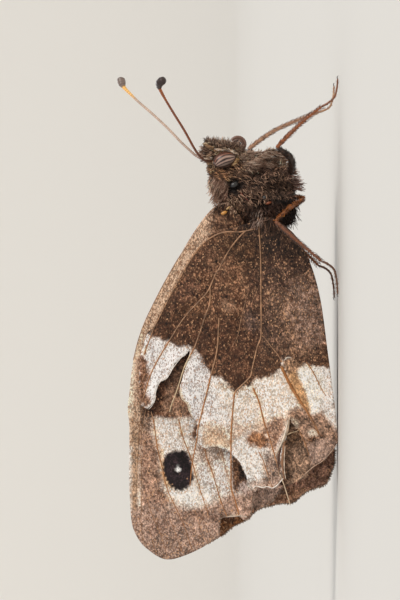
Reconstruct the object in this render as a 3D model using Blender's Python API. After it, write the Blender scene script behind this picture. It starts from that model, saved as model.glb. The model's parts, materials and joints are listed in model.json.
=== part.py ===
"""A rock grayling butterfly at rest with its wings closed, at life size.

The frame: +X runs towards the head, +Z is up, away from the ground, and +Y is the animal's left.
The origin is the middle of the box round the whole animal, on the ground.
Lengths below are in millimetres, and one factor turns them to metres when a mesh is made.
"""
import math

import bmesh
import bpy
from mathutils import Matrix, Vector
from mathutils.geometry import delaunay_2d_cdt

MM = 0.001
SIDES = {"right": -1, "left": 1}
GAP = 0.3
CURVE_STEPS = 8  # points on a curve from one guide point to the next
TUBE_STEP = 0.55

# The near antenna leans out further than any foot, so the body stands this far left of the middle
BODY_Y = 0.95

# Wings: plates of even thickness with their veins raised on both faces
WING_THICKNESS = 0.5
VEIN_HEIGHT = 0.13
VEIN_HALF_WIDTH = 0.24
VEIN_STEP = 1.7
EDGE_MARGIN = 0.42
GRID_STEP = 2.4
FRONT_STEP = 1.6
MARGIN_STEP = 1.25
INNER_STEP = 1.9
FOREWING_Y = 0.4
HINDWING_OUT = 0.8
WAIST_SPREAD = 1.8
ABDOMEN_SPREAD = 0.75
ABDOMEN_TOP = 7.6
ABDOMEN_FADE = 3.2

# The thorax, its long axis tipped up towards the head, with the chest that carries the legs below
THORAX_CENTRE = (10.5, 0.0, 7.5)
THORAX_RADII = (3.2, 1.6, 2.6)
THORAX_TILT = 35.0
CHEST_CENTRE = (11.0, 0.0, 5.4)
CHEST_RADII = (2.0, 1.15, 1.9)
COLLAR_CENTRE = (11.5, 0.0, 9.65)
COLLAR_RADII = (1.55, 1.35, 1.5)

# The head and its eyes, their long axes leaning back at the top
HEAD_CENTRE = (13.25, 0.0, 9.85)
HEAD_RADII = (0.95, 1.15, 1.3)
HEAD_TILT = 29.0
MOUTH_CENTRE = (13.25, 0.0, 8.75)
MOUTH_RADII = (0.6, 0.85, 0.6)
EYE_CENTRE = (13.47, 1.02, 9.65)
EYE_RADII = (0.64, 0.55, 0.98)

# The abdomen, from its waist to its tip, between the hindwings
ABDOMEN_START = (7.3, 0.0, 5.6)
ABDOMEN_BEND = (2.5, 0.0, 3.7)
ABDOMEN_END = (-4.6, 0.0, 2.5)
ABDOMEN_RADIUS = 1.22
ABDOMEN_SEGMENTS = 8
SEGMENT_SWELL = 0.06
RINGS_A_SEGMENT = 3
# The abdomen's outline is part of a sine wave: where it starts, how much it spans, how full it is
ABDOMEN_PHASE = 0.2
ABDOMEN_SPAN = 0.66
ABDOMEN_FULLNESS = 0.55

# The coiled tongue below the face
COIL_CENTRE = (14.78, 0.0, 8.4)
COIL_RADIUS = 0.62
COIL_TURNS = 1.5
COIL_START = 170.0
COIL_STEPS_A_TURN = 18
COIL_SHRINK = 0.66
COIL_DOME = 0.2
COIL_WIRE = (0.09, 0.25)

# Outlines of the whole wings, in (x, z), from the front of the root round the tip and back
FOREWING_FRONT = [
    (9.9, 9.3), (9.5, 10.5), (7.8, 11.8), (5.2, 13.4), (2.8, 14.8), (-0.4, 16.5), (-2.6, 17.3),
    (-6.9, 17.7), (-13.7, 17.8), (-17.0, 17.6), (-19.0, 16.8), (-20.2, 15.6), (-20.55, 14.3),
    (-20.2, 13.1), (-19.4, 11.5),
]
FOREWING_MARGIN = [(-18.6, 9.9), (-17.0, 7.5), (-15.4, 5.4), (-13.3, 4.0), (-10.3, 3.2)]
FOREWING_INNER = [(-6.9, 3.8), (-2.7, 4.9), (2.4, 6.4), (6.2, 7.4), (8.3, 8.0)]
HINDWING_FRONT = [
    (8.2, 7.2), (7.8, 8.3), (7.5, 10.0), (6.8, 11.3), (4.0, 13.4), (1.4, 15.0), (-2.3, 16.6),
    (-3.9, 16.95),
]
HINDWING_MARGIN = [
    (-7.4, 16.8), (-9.6, 16.2), (-11.6, 15.3), (-13.4, 13.9), (-14.9, 12.1), (-16.0, 10.0),
    (-16.45, 8.0), (-16.1, 6.0), (-15.9, 4.1), (-15.2, 2.9), (-14.5, 1.7), (-13.9, 0.6),
    (-11.4, -0.25),
]
HINDWING_INNER = [
    (-9.8, -0.25), (-6.9, 0.35), (-2.7, 0.9), (1.6, 1.5), (4.8, 2.4), (7.0, 3.6), (8.3, 5.2),
    (8.6, 6.3),
]
SCALLOP_DEPTH = 0.22

# The near wings are worn: these broken edges take the place of their whole margins
FOREWING_TORN = [
    (-18.7, 10.1), (-17.8, 10.1), (-17.0, 9.9), (-16.8, 8.3), (-17.2, 7.9), (-16.8, 7.3),
    (-14.9, 7.1), (-13.6, 6.7), (-12.5, 5.6), (-11.3, 4.7), (-9.8, 3.9),
]
HINDWING_TORN = [
    (-5.7, 16.9), (-7.4, 16.7), (-7.6, 16.2), (-7.1, 15.6), (-6.1, 15.5), (-5.5, 15.2),
    (-4.0, 13.9), (-2.6, 12.6), (-4.4, 13.0), (-5.9, 13.4), (-6.8, 13.3), (-7.6, 12.7),
    (-9.5, 12.0), (-10.4, 12.1), (-11.0, 11.4), (-10.9, 10.0), (-11.4, 9.1), (-12.3, 8.3),
    (-13.6, 7.7), (-14.5, 7.1), (-14.5, 5.6), (-14.0, 4.9), (-13.2, 4.6), (-10.8, 4.4),
    (-10.5, 4.1), (-12.0, 3.7), (-14.0, 3.5), (-13.4, 2.5), (-12.7, 2.2), (-12.0, 1.1),
    (-11.3, -0.25),
]

# Main veins, each through a few points in (x, z) from the root outwards
FOREWING_VEINS = {
    "radius": [(8.9, 9.3), (2.4, 13.0), (-3.5, 15.3), (-9.5, 16.2), (-15.4, 16.2), (-19.3, 15.3)],
    "cell": [(8.3, 8.7), (3.3, 9.9), (-2.7, 10.9), (-5.2, 10.5), (-12.2, 8.3), (-15.9, 6.6)],
    "media_1": [(-3.5, 15.3), (-9.1, 15.6), (-15.3, 14.3), (-19.5, 12.8)],
    "media_2": [(-5.2, 14.9), (-9.9, 13.3), (-13.7, 12.0), (-18.4, 10.7)],
    "media_3": [(-5.2, 10.5), (-8.5, 11.2), (-12.0, 10.2), (-16.6, 9.0)],
    "cubitus_2": [(-0.1, 10.4), (-7.8, 6.8), (-13.4, 4.6)],
    "anal": [(7.6, 8.2), (1.6, 7.0), (-4.4, 5.6), (-9.5, 4.0)],
}
HINDWING_VEINS = {
    "subcosta": [(7.4, 7.6), (7.0, 9.9), (5.9, 11.4), (3.5, 13.1), (-0.5, 15.3), (-3.4, 16.4)],
    "radius": [(7.2, 8.2), (5.1, 9.9), (2.7, 11.1), (-0.2, 13.3), (-3.5, 15.2), (-6.9, 16.3)],
    "media_1": [(2.9, 10.9), (-0.1, 11.5), (-3.3, 12.4), (-6.7, 13.9), (-11.2, 14.9)],
    "media_2": [(0.6, 9.9), (-2.7, 10.3), (-6.8, 11.3), (-9.3, 11.9), (-14.2, 12.6)],
    "media_3": [(0.8, 7.9), (-2.4, 9.0), (-6.9, 9.9), (-11.2, 10.6), (-15.4, 10.7)],
    "cubitus": [(7.9, 6.9), (5.3, 6.6), (-1.4, 6.5), (-4.4, 7.3), (-6.5, 8.8), (-10.3, 9.1),
                (-16.2, 8.4)],
    "cubitus_2": [(-5.1, 7.7), (-8.8, 6.3), (-12.2, 5.3), (-15.9, 5.1)],
    "anal": [(8.0, 5.9), (1.6, 5.4), (-4.1, 4.8), (-7.1, 3.1), (-10.1, 1.5)],
    "anal_2": [(7.2, 4.6), (1.6, 3.3), (-3.7, 2.4), (-6.9, 1.2)],
}

# Antennae: the line of each from the brow to its clubbed tip, in (x, y, z)
ANTENNA_LINES = {
    "right": [(13.75, -0.55, 11.45), (14.9, -1.6, 12.35), (17.0, -3.9, 13.75), (18.9, -6.0, 14.8),
              (19.85, -7.15, 15.05), (20.25, -7.7, 14.85)],
    "left": [(13.75, 0.55, 11.5), (15.0, 1.4, 13.4), (17.2, 3.0, 15.6), (19.0, 4.3, 17.45),
             (19.9, 4.95, 18.15), (20.2, 5.2, 18.4)],
}
ANTENNA_RADIUS = 0.25
CLUB_RADIUS = 0.36
CLUB_START = 0.8
CLUB_GROWTH = 0.1
CLUB_TIP = 0.5

# Legs: the thigh, shin and foot of each from the hip outwards, in (x, y, z)
LEGS = {
    "mid_right": {
        "femur": [(12.55, -1.55, 3.75), (13.7, -2.5, 3.95), (14.75, -3.2, 5.05)],
        "tibia": [(15.2, -3.45, 4.75), (16.6, -4.0, 3.1), (17.85, -4.5, 1.6)],
        "tarsus": [(18.0, -4.6, 1.2), (18.6, -4.8, 0.42), (19.4, -5.0, 0.22), (20.3, -5.15, 0.14)],
    },
    "mid_left": {
        "femur": [(12.9, 1.65, 5.2), (13.7, 2.4, 6.6), (14.3, 2.8, 7.45)],
        "tibia": [(14.85, 3.15, 7.25), (16.3, 4.4, 5.1), (17.5, 5.3, 2.3)],
        "tarsus": [(17.75, 5.5, 1.7), (18.3, 5.75, 0.5), (19.2, 5.85, 0.22), (20.2, 5.9, 0.14)],
    },
    "hind_right": {
        "femur": [(10.1, -1.75, 3.3), (9.45, -2.9, 4.3), (8.45, -3.65, 5.4)],
        "tibia": [(7.9, -3.85, 5.05), (6.3, -4.35, 3.2), (4.9, -4.8, 1.6)],
        "tarsus": [(4.75, -4.85, 1.15), (4.1, -4.95, 0.42), (3.1, -5.05, 0.22), (2.0, -5.1, 0.14)],
    },
    "hind_left": {
        "femur": [(10.1, 1.75, 3.3), (9.3, 3.0, 4.2), (8.2, 3.8, 5.2)],
        "tibia": [(7.65, 4.0, 4.85), (6.0, 4.5, 3.0), (4.6, 4.95, 1.55)],
        "tarsus": [(4.45, 5.0, 1.15), (3.8, 5.1, 0.42), (2.8, 5.2, 0.22), (1.7, 5.25, 0.14)],
    },
}
FEMUR_RADII = [0.3, 0.36, 0.27]
TIBIA_RADII = [0.25, 0.26, 0.25]
TARSUS_RADII = [0.25, 0.25, 0.25, 0.18]
FORELEG_LINE = [(13.55, 0.85, 6.55), (14.15, 1.0, 5.9), (13.9, 1.0, 5.0), (13.4, 0.95, 4.75)]
FORELEG_RADII = [0.27, 0.27, 0.26, 0.12]
# Hips: tapering cones that grow down out of the thorax and end just short of each leg
HIP_ROOTS = {"mid": (11.6, 0.65, 6.3), "hind": (10.1, 0.65, 5.9), "fore": (12.5, 0.55, 7.7)}
HIP_RADII = {"mid": [0.9, 0.8, 0.42], "hind": [0.9, 0.8, 0.42], "fore": [0.6, 0.5, 0.34]}
# The thighs turn away from the hips, so these ends stand further apart along the leg
HIP_GAP = 0.5
DOME = 0.35

# Scaled feelers in front of the face
PALP_LINE = [(14.62, 0.8, 9.15), (14.88, 0.84, 9.45), (15.05, 0.84, 10.0), (15.15, 0.76, 10.75),
             (15.4, 0.62, 11.4)]
PALP_RADII = [0.22, 0.34, 0.38, 0.3, 0.08]
PALP_SQUEEZE = 0.7


def clear_scene():
    for thing in list(bpy.data.objects):
        bpy.data.objects.remove(thing, do_unlink=True)


def principled(name, colour, roughness):
    """A plain finish in the part's own colour."""
    material = bpy.data.materials.new(name)
    material.use_nodes = True
    shader = material.node_tree.nodes["Principled BSDF"]
    shader.inputs["Base Color"].default_value = (*colour, 1.0)
    shader.inputs["Roughness"].default_value = roughness
    shader.inputs["Metallic"].default_value = 0.0
    return material


def rounded(points, steps=CURVE_STEPS):
    """Points along a Catmull-Rom curve through the given ones, in two or three dimensions."""
    guides = [Vector(p) for p in points]
    guides = [guides[0] * 2 - guides[1]] + guides + [guides[-1] * 2 - guides[-2]]
    curve = []
    for a, b, c, d in zip(guides, guides[1:], guides[2:], guides[3:]):
        for step in range(steps):
            t = step / steps
            curve.append(0.5 * (2 * b + (c - a) * t + (2 * a - 5 * b + 4 * c - d) * t * t
                                + (3 * b - a - 3 * c + d) * t ** 3))
    return curve + [guides[-2]]


def evenly(points, spacing):
    """The same line with points about one spacing apart."""
    lengths = [0.0]
    for a, b in zip(points, points[1:]):
        lengths.append(lengths[-1] + (b - a).length)
    count = max(1, round(lengths[-1] / spacing))
    found = []
    for index in range(count + 1):
        reach = lengths[-1] * index / count
        leg = next(i for i in range(1, len(points)) if lengths[i] >= reach - 1e-9)
        share = (reach - lengths[leg - 1]) / max(lengths[leg] - lengths[leg - 1], 1e-9)
        found.append(points[leg - 1].lerp(points[leg], share))
    return found


def finish(name, mesh, material):
    """Moves a mesh in millimetres to its place in metres and makes it a node."""
    mesh.transform(Matrix.Translation((0.0, BODY_Y * MM, 0.0)) @ Matrix.Scale(MM, 4))
    mesh.shade_smooth()
    mesh.materials.append(material)
    node = bpy.data.objects.new(name, mesh)
    bpy.context.scene.collection.objects.link(node)
    return node


def to_mesh(name, model):
    bmesh.ops.recalc_face_normals(model, faces=model.faces)
    mesh = bpy.data.meshes.new(name)
    model.to_mesh(mesh)
    model.free()
    return mesh


def ellipsoid(centre, radii, tilt=0.0, fineness=3, grow=0.0):
    """An ellipsoid as a bmesh, its front tipped up by tilt degrees about Y."""
    model = bmesh.new()
    size = [radius + grow for radius in radii]
    place = (Matrix.Translation(centre) @ Matrix.Rotation(-math.radians(tilt), 4, "Y")
             @ Matrix.Diagonal((*size, 1.0)))
    bmesh.ops.create_icosphere(model, subdivisions=fineness, radius=1.0, matrix=place)
    return model


def sweep(line, radii, sides=10, squeeze=1.0, dome=DOME):
    """A closed tube along a line of points, with a radius at each and shallow domed ends.

    squeeze narrows the section across Y.
    """
    model = bmesh.new()
    rings = []
    tangents = []
    for index in range(len(line)):
        before = line[max(index - 1, 0)]
        after = line[min(index + 1, len(line) - 1)]
        tangents.append((after - before).normalized())
    side = Vector((0, 1, 0))
    for point, radius, tangent in zip(line, radii, tangents):
        side = (side - tangent * side.dot(tangent)).normalized()
        up = tangent.cross(side)
        ring = []
        for turn in range(sides):
            angle = 2 * math.pi * turn / sides
            ring.append(model.verts.new(point + side * (math.cos(angle) * radius * squeeze)
                                        + up * (math.sin(angle) * radius)))
        rings.append(ring)
    for lower, upper in zip(rings, rings[1:]):
        for index in range(sides):
            following = (index + 1) % sides
            model.faces.new((lower[index], lower[following], upper[following], upper[index]))
    ends = ((rings[0], line[0] - tangents[0] * radii[0] * dome),
            (rings[-1], line[-1] + tangents[-1] * radii[-1] * dome))
    for ring, tip in ends:
        middle = model.verts.new(tip)
        for index in range(sides):
            model.faces.new((ring[index], ring[(index + 1) % sides], middle))
    return model


def radii_along(line, radii):
    """Radii read off evenly placed values, one for each point of the line."""
    found = []
    for index in range(len(line)):
        reach = index / (len(line) - 1) * (len(radii) - 1)
        low = min(int(reach), len(radii) - 2)
        share = reach - low
        found.append(radii[low] * (1 - share) + radii[low + 1] * share)
    return found


def joined(name, models, cutters=()):
    """One closed mesh: the union of some bmeshes, less the cutters."""
    bits = bpy.data.collections.new(name + "_bits")
    tools = bpy.data.collections.new(name + "_tools")
    helpers = []
    for group, pieces in ((bits, models[1:]), (tools, cutters)):
        for piece in pieces:
            helper = bpy.data.objects.new(name + "_helper", to_mesh(name + "_helper", piece))
            group.objects.link(helper)
            helpers.append(helper)
    base = bpy.data.objects.new(name + "_base", to_mesh(name + "_base", models[0]))
    bpy.context.scene.collection.objects.link(base)
    helpers.append(base)
    for group, operation in ((bits, "UNION"), (tools, "DIFFERENCE")):
        if not group.objects:
            continue
        boolean = base.modifiers.new(operation.title(), "BOOLEAN")
        boolean.operation = operation
        boolean.operand_type = "COLLECTION"
        boolean.collection = group
    bpy.context.view_layer.update()
    graph = bpy.context.evaluated_depsgraph_get()
    mesh = bpy.data.meshes.new_from_object(base.evaluated_get(graph))
    for helper in helpers:
        bpy.data.objects.remove(helper, do_unlink=True)
    for group in (bits, tools):
        bpy.data.collections.remove(group)
    model = bmesh.new()
    model.from_mesh(mesh)
    keep_largest(model)
    return to_mesh(name, model)


def space_in(group):
    """The volume inside the closed surface that a group of vertices makes."""
    total = 0.0
    for face in {face for vert in group for face in vert.link_faces}:
        corners = [vert.co for vert in face.verts]
        for second, third in zip(corners[1:], corners[2:]):
            total += corners[0].dot(second.cross(third)) / 6
    return abs(total)


def keep_largest(model):
    """Drops every closed surface but the one that holds the most space."""
    model.verts.ensure_lookup_table()
    unseen = set(model.verts)
    groups = []
    while unseen:
        group = {unseen.pop()}
        edge = list(group)
        while edge:
            for link in edge.pop().link_edges:
                for vert in link.verts:
                    if vert in unseen:
                        unseen.discard(vert)
                        group.add(vert)
                        edge.append(vert)
        groups.append(group)
    best = max(groups, key=space_in)
    for group in groups:
        if group is not best:
            bmesh.ops.delete(model, geom=list(group), context="VERTS")


def flat_on_ground(model):
    """Cuts off whatever reaches below the ground and closes the cut with a flat."""
    everything = model.verts[:] + model.edges[:] + model.faces[:]
    cut = bmesh.ops.bisect_plane(model, geom=everything, dist=1e-5, plane_co=(0, 0, 0),
                                 plane_no=(0, 0, 1), clear_inner=True)
    rim = [item for item in cut["geom_cut"] if isinstance(item, bmesh.types.BMEdge)]
    bmesh.ops.contextual_create(model, geom=rim)


def wing_spread(x, z, layer):
    """How far a wing's middle surface stands from the body's own plane at a place.

    It leans out over the thorax and, on the hindwing, round the abdomen.
    """
    tilt = math.radians(THORAX_TILT)
    dx = x - THORAX_CENTRE[0]
    dz = z - THORAX_CENTRE[2]
    along = (dx * math.cos(tilt) + dz * math.sin(tilt)) / THORAX_RADII[0]
    across = (dz * math.cos(tilt) - dx * math.sin(tilt)) / THORAX_RADII[2]
    spread = FOREWING_Y + WAIST_SPREAD * math.exp(-(along * along + across * across) / 2)
    if layer == "hindwing":
        reach = min(max((ABDOMEN_TOP - z) / ABDOMEN_FADE, 0.0), 1.0)
        spread += HINDWING_OUT + ABDOMEN_SPREAD * reach * reach * (3 - 2 * reach)
    return spread


def distance_to(point, line):
    """The shortest distance from a point to a line of points."""
    best = 1e9
    for a, b in zip(line, line[1:]):
        leg = b - a
        share = min(max((point - a).dot(leg) / max(leg.length_squared, 1e-12), 0.0), 1.0)
        best = min(best, (point - a - leg * share).length)
    return best


def inside(point, outline):
    """Whether a point lies within a closed outline."""
    odd = False
    for a, b in zip(outline, outline[1:] + outline[:1]):
        if (a.y > point.y) != (b.y > point.y):
            crossing = a.x + (point.y - a.y) / (b.y - a.y) * (b.x - a.x)
            if point.x < crossing:
                odd = not odd
    return odd


def scalloped(line):
    """A wavy edge: a smooth margin pulled in between the ends of the veins."""
    waved = []
    for index, point in enumerate(line):
        before = line[max(index - 1, 0)]
        after = line[min(index + 1, len(line) - 1)]
        along = (after - before).normalized()
        inward = Vector((-along.y, along.x))
        depth = SCALLOP_DEPTH * 0.5 * (1 - math.cos(math.pi * index))
        waved.append(point + inward * depth)
    return waved


def wing_outline(front, margin, inner, torn):
    """The closed outline of a wing: smooth front and inner edges and a whole or a broken margin."""
    edge = evenly(rounded(front), FRONT_STEP)
    if torn:
        edge += [Vector(point) for point in margin]
    else:
        edge += scalloped(evenly(rounded(margin), MARGIN_STEP))
    return edge + evenly(rounded(inner), INNER_STEP)


def wing_grid(outline, veins):
    """Flat triangles inside the outline whose edges follow the veins."""
    lines = []
    for guide in veins.values():
        middle = evenly(rounded(guide), VEIN_STEP)
        for offset in (-VEIN_HALF_WIDTH, 0.0, VEIN_HALF_WIDTH):
            run = []
            for index, point in enumerate(middle):
                before = middle[max(index - 1, 0)]
                after = middle[min(index + 1, len(middle) - 1)]
                along = (after - before).normalized()
                run.append(point + Vector((-along.y, along.x)) * offset)
            lines.append(run)
    border = outline + outline[:1]
    verts = list(outline)
    edges = []
    for run in lines:
        previous = None
        for point in run:
            if not inside(point, outline) or distance_to(point, border) < EDGE_MARGIN:
                previous = None
                continue
            verts.append(point)
            if previous is not None:
                crossed = distance_to((point + verts[previous]) / 2, border) < EDGE_MARGIN
                if not crossed:
                    edges.append((previous, len(verts) - 1))
            previous = len(verts) - 1
    first = int(min(p.x for p in outline) / GRID_STEP) - 1
    last = int(max(p.x for p in outline) / GRID_STEP) + 1
    top = int(max(p.y for p in outline) / GRID_STEP) + 1
    for column in range(first, last + 1):
        for row in range(top + 1):
            point = Vector(((column + 0.5 * (row % 2)) * GRID_STEP, row * GRID_STEP))
            if not inside(point, outline) or distance_to(point, border) < 2 * EDGE_MARGIN:
                continue
            if min(distance_to(point, run) for run in lines) < 2 * VEIN_HALF_WIDTH:
                continue
            verts.append(point)
    loop = [list(range(len(outline)))]
    found = delaunay_2d_cdt(verts, edges, loop, 1, 1e-4)
    return found[0], found[2], lines[1::3]


def wing(name, layer, side, outline, veins, material):
    """A wing plate: the flat grid given a front and a back face, veins raised on both."""
    points, triangles, middles = wing_grid(outline, veins)
    model = bmesh.new()
    faces = {1: [], -1: []}
    for point in points:
        spread = wing_spread(point.x, point.y, layer)
        near = min(distance_to(point, line) for line in middles)
        ridge = VEIN_HEIGHT * max(0.0, 1 - near / VEIN_HALF_WIDTH)
        for way in faces:
            depth = spread + way * (WING_THICKNESS / 2 + ridge)
            faces[way].append(model.verts.new((point.x, side * depth, point.y)))
    rim = {}
    for a, b, c in triangles:
        model.faces.new((faces[1][a], faces[1][b], faces[1][c]))
        model.faces.new((faces[-1][c], faces[-1][b], faces[-1][a]))
        for pair in ((a, b), (b, c), (c, a)):
            rim[tuple(sorted(pair))] = rim.get(tuple(sorted(pair)), 0) + 1
    for (a, b), count in rim.items():
        if count == 1:
            model.faces.new((faces[1][a], faces[1][b], faces[-1][b]))
            model.faces.new((faces[1][a], faces[-1][b], faces[-1][a]))
    loose = [vert for vert in model.verts if not vert.link_faces]
    bmesh.ops.delete(model, geom=loose, context="VERTS")
    bmesh.ops.recalc_face_normals(model, faces=model.faces)
    flat_on_ground(model)
    return finish(name, to_mesh(name, model), material)


def build_wings(material):
    whole_front = wing_outline(FOREWING_FRONT, FOREWING_MARGIN, FOREWING_INNER, False)
    worn_front = wing_outline(FOREWING_FRONT, FOREWING_TORN, FOREWING_INNER, True)
    whole_hind = wing_outline(HINDWING_FRONT, HINDWING_MARGIN, HINDWING_INNER, False)
    worn_hind = wing_outline(HINDWING_FRONT, HINDWING_TORN, HINDWING_INNER, True)
    wing("forewing_right", "forewing", SIDES["right"], worn_front, FOREWING_VEINS, material)
    wing("forewing_left", "forewing", SIDES["left"], whole_front, FOREWING_VEINS, material)
    wing("hindwing_right", "hindwing", SIDES["right"], worn_hind, HINDWING_VEINS, material)
    wing("hindwing_left", "hindwing", SIDES["left"], whole_hind, HINDWING_VEINS, material)


def build_head(flesh, dark):
    sockets = []
    for name, side in SIDES.items():
        centre = (EYE_CENTRE[0], side * EYE_CENTRE[1], EYE_CENTRE[2])
        eye = ellipsoid(centre, EYE_RADII, HEAD_TILT)
        finish("eye_" + name, to_mesh("eye_" + name, eye), dark)
        sockets.append(ellipsoid(centre, EYE_RADII, HEAD_TILT, grow=GAP))
    skull = ellipsoid(HEAD_CENTRE, HEAD_RADII, HEAD_TILT)
    mouth = ellipsoid(MOUTH_CENTRE, MOUTH_RADII, fineness=2)
    finish("head", joined("head", [skull, mouth], sockets), flesh)


def build_tongue(material):
    """The tongue, a flat spring wound up below the face, its outer end at the mouth."""
    line = []
    steps = round(COIL_TURNS * COIL_STEPS_A_TURN)
    for step in range(steps + 1):
        share = step / steps
        angle = math.radians(COIL_START) + share * COIL_TURNS * 2 * math.pi
        radius = COIL_RADIUS * (1 - COIL_SHRINK * share)
        line.append(Vector((COIL_CENTRE[0] + radius * math.cos(angle), COIL_CENTRE[1],
                            COIL_CENTRE[2] + radius * math.sin(angle))))
    thin, wide = COIL_WIRE
    coil = sweep(line, [thin] * len(line), sides=6, squeeze=wide / thin, dome=COIL_DOME)
    finish("proboscis", to_mesh("proboscis", coil), material)


def build_palps(material):
    for name, side in SIDES.items():
        line = [Vector((p.x, p.y * side, p.z)) for p in evenly(rounded(PALP_LINE), TUBE_STEP)]
        palp = sweep(line, radii_along(line, PALP_RADII), sides=10, squeeze=PALP_SQUEEZE)
        finish("palp_" + name, to_mesh("palp_" + name, palp), material)


def build_antennae(material):
    for name, guide in ANTENNA_LINES.items():
        line = evenly(rounded(guide), TUBE_STEP)
        radii = []
        for index in range(len(line)):
            share = index / (len(line) - 1)
            swell = min(max((share - CLUB_START) / CLUB_GROWTH, 0.0), 1.0)
            radius = ANTENNA_RADIUS + (CLUB_RADIUS - ANTENNA_RADIUS) * swell * swell * (3 - 2 * swell)
            radii.append(radius if index < len(line) - 1 else CLUB_TIP * CLUB_RADIUS)
        feeler = sweep(line, radii, sides=8)
        finish("antenna_" + name, to_mesh("antenna_" + name, feeler), material)


def leg_starts():
    """Where every leg begins, with its pair's name and its radius there."""
    starts = []
    for leg, lines in LEGS.items():
        starts.append((leg.split("_")[0], Vector(lines["femur"][0]), FEMUR_RADII[0]))
    for side in SIDES.values():
        place = Vector(FORELEG_LINE[0])
        starts.append(("fore", Vector((place.x, side * place.y, place.z)), FORELEG_RADII[0]))
    return starts


def hip(pair, start, leg_radius):
    """One hip, its end facing the leg's own across the gap."""
    root = Vector(HIP_ROOTS[pair])
    root.y *= math.copysign(1, start.y)
    along = (start - root).normalized()
    end = start - along * (HIP_GAP + DOME * (HIP_RADII[pair][-1] + leg_radius))
    line = evenly([root, end], TUBE_STEP)
    return sweep(line, radii_along(line, HIP_RADII[pair]), sides=10)


def build_thorax(material):
    pieces = [ellipsoid(THORAX_CENTRE, THORAX_RADII, THORAX_TILT)]
    pieces.append(ellipsoid(COLLAR_CENTRE, COLLAR_RADII, fineness=2))
    pieces.append(ellipsoid(CHEST_CENTRE, CHEST_RADII, fineness=2))
    for pair, start, leg_radius in leg_starts():
        pieces.append(hip(pair, start, leg_radius))
    cutters = [ellipsoid(HEAD_CENTRE, HEAD_RADII, HEAD_TILT, grow=GAP)]
    cutters.append(ellipsoid(MOUTH_CENTRE, MOUTH_RADII, fineness=2, grow=GAP))
    for side in SIDES.values():
        centre = (EYE_CENTRE[0], side * EYE_CENTRE[1], EYE_CENTRE[2])
        cutters.append(ellipsoid(centre, EYE_RADII, HEAD_TILT, grow=GAP))
    finish("thorax", joined("thorax", pieces, cutters), material)


def abdomen_model():
    """The abdomen: a tapering body of rings, each swelling a little before the next seam."""
    guide = rounded([ABDOMEN_START, ABDOMEN_BEND, ABDOMEN_END])
    length = (Vector(ABDOMEN_END) - Vector(ABDOMEN_START)).length
    line = evenly(guide, length / (RINGS_A_SEGMENT * ABDOMEN_SEGMENTS))
    radii = []
    for index in range(len(line)):
        share = index / (len(line) - 1)
        body = math.sin(math.pi * (ABDOMEN_PHASE + ABDOMEN_SPAN * share)) ** ABDOMEN_FULLNESS
        wave = math.cos(2 * math.pi * index / RINGS_A_SEGMENT)
        radii.append(ABDOMEN_RADIUS * body * (1 - SEGMENT_SWELL * (0.5 + 0.5 * wave)))
    return sweep(line, radii, sides=14)


def build_abdomen(material):
    cutters = [ellipsoid(THORAX_CENTRE, THORAX_RADII, THORAX_TILT, grow=GAP)]
    finish("abdomen", joined("abdomen", [abdomen_model()], cutters), material)


def build_legs(material):
    sections = (("femur", FEMUR_RADII), ("tibia", TIBIA_RADII), ("tarsus", TARSUS_RADII))
    for leg, lines in LEGS.items():
        for section, radii in sections:
            line = evenly(rounded(lines[section]), TUBE_STEP)
            model = sweep(line, radii_along(line, radii), sides=8)
            if section == "tarsus":
                bmesh.ops.recalc_face_normals(model, faces=model.faces)
                flat_on_ground(model)
            name = section + "_" + leg
            finish(name, to_mesh(name, model), material)
    for name, side in SIDES.items():
        line = [Vector((p.x, p.y * side, p.z)) for p in evenly(rounded(FORELEG_LINE), TUBE_STEP)]
        model = sweep(line, radii_along(line, FORELEG_RADII), sides=8)
        finish("foreleg_" + name, to_mesh("foreleg_" + name, model), material)


clear_scene()
fur = principled("brown fur", (0.13, 0.08, 0.05), 0.9)
scales = principled("wing scales", (0.42, 0.33, 0.26), 0.85)
horn = principled("brown horn", (0.22, 0.09, 0.03), 0.45)
facets = principled("facetted eye", (0.12, 0.06, 0.045), 0.25)
build_wings(scales)
build_head(fur, facets)
build_tongue(horn)
build_palps(fur)
build_antennae(horn)
build_thorax(fur)
build_abdomen(fur)
build_legs(horn)
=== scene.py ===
# %% [markdown]
# # A worn rock grayling butterfly, at life size
# A museum shows a small animal as a still model: the body under its coat, four wings of thin skin
# covered with scales, and horny legs and feelers. This lesson builds each of them over a fixed frame,
# the solid parts that say where everything is. Work is done in millimetres, because a butterfly is
# only 4 cm long and Blender's tools expect things of about one unit, and each piece is brought to
# metres at its end.

# %% Load the frame
import json
import math
from collections import namedtuple

import bmesh
import bpy
import numpy as np
from mathutils import Matrix, Vector, noise
from mathutils.bvhtree import BVHTree
from mathutils.geometry import delaunay_2d_cdt

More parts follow.
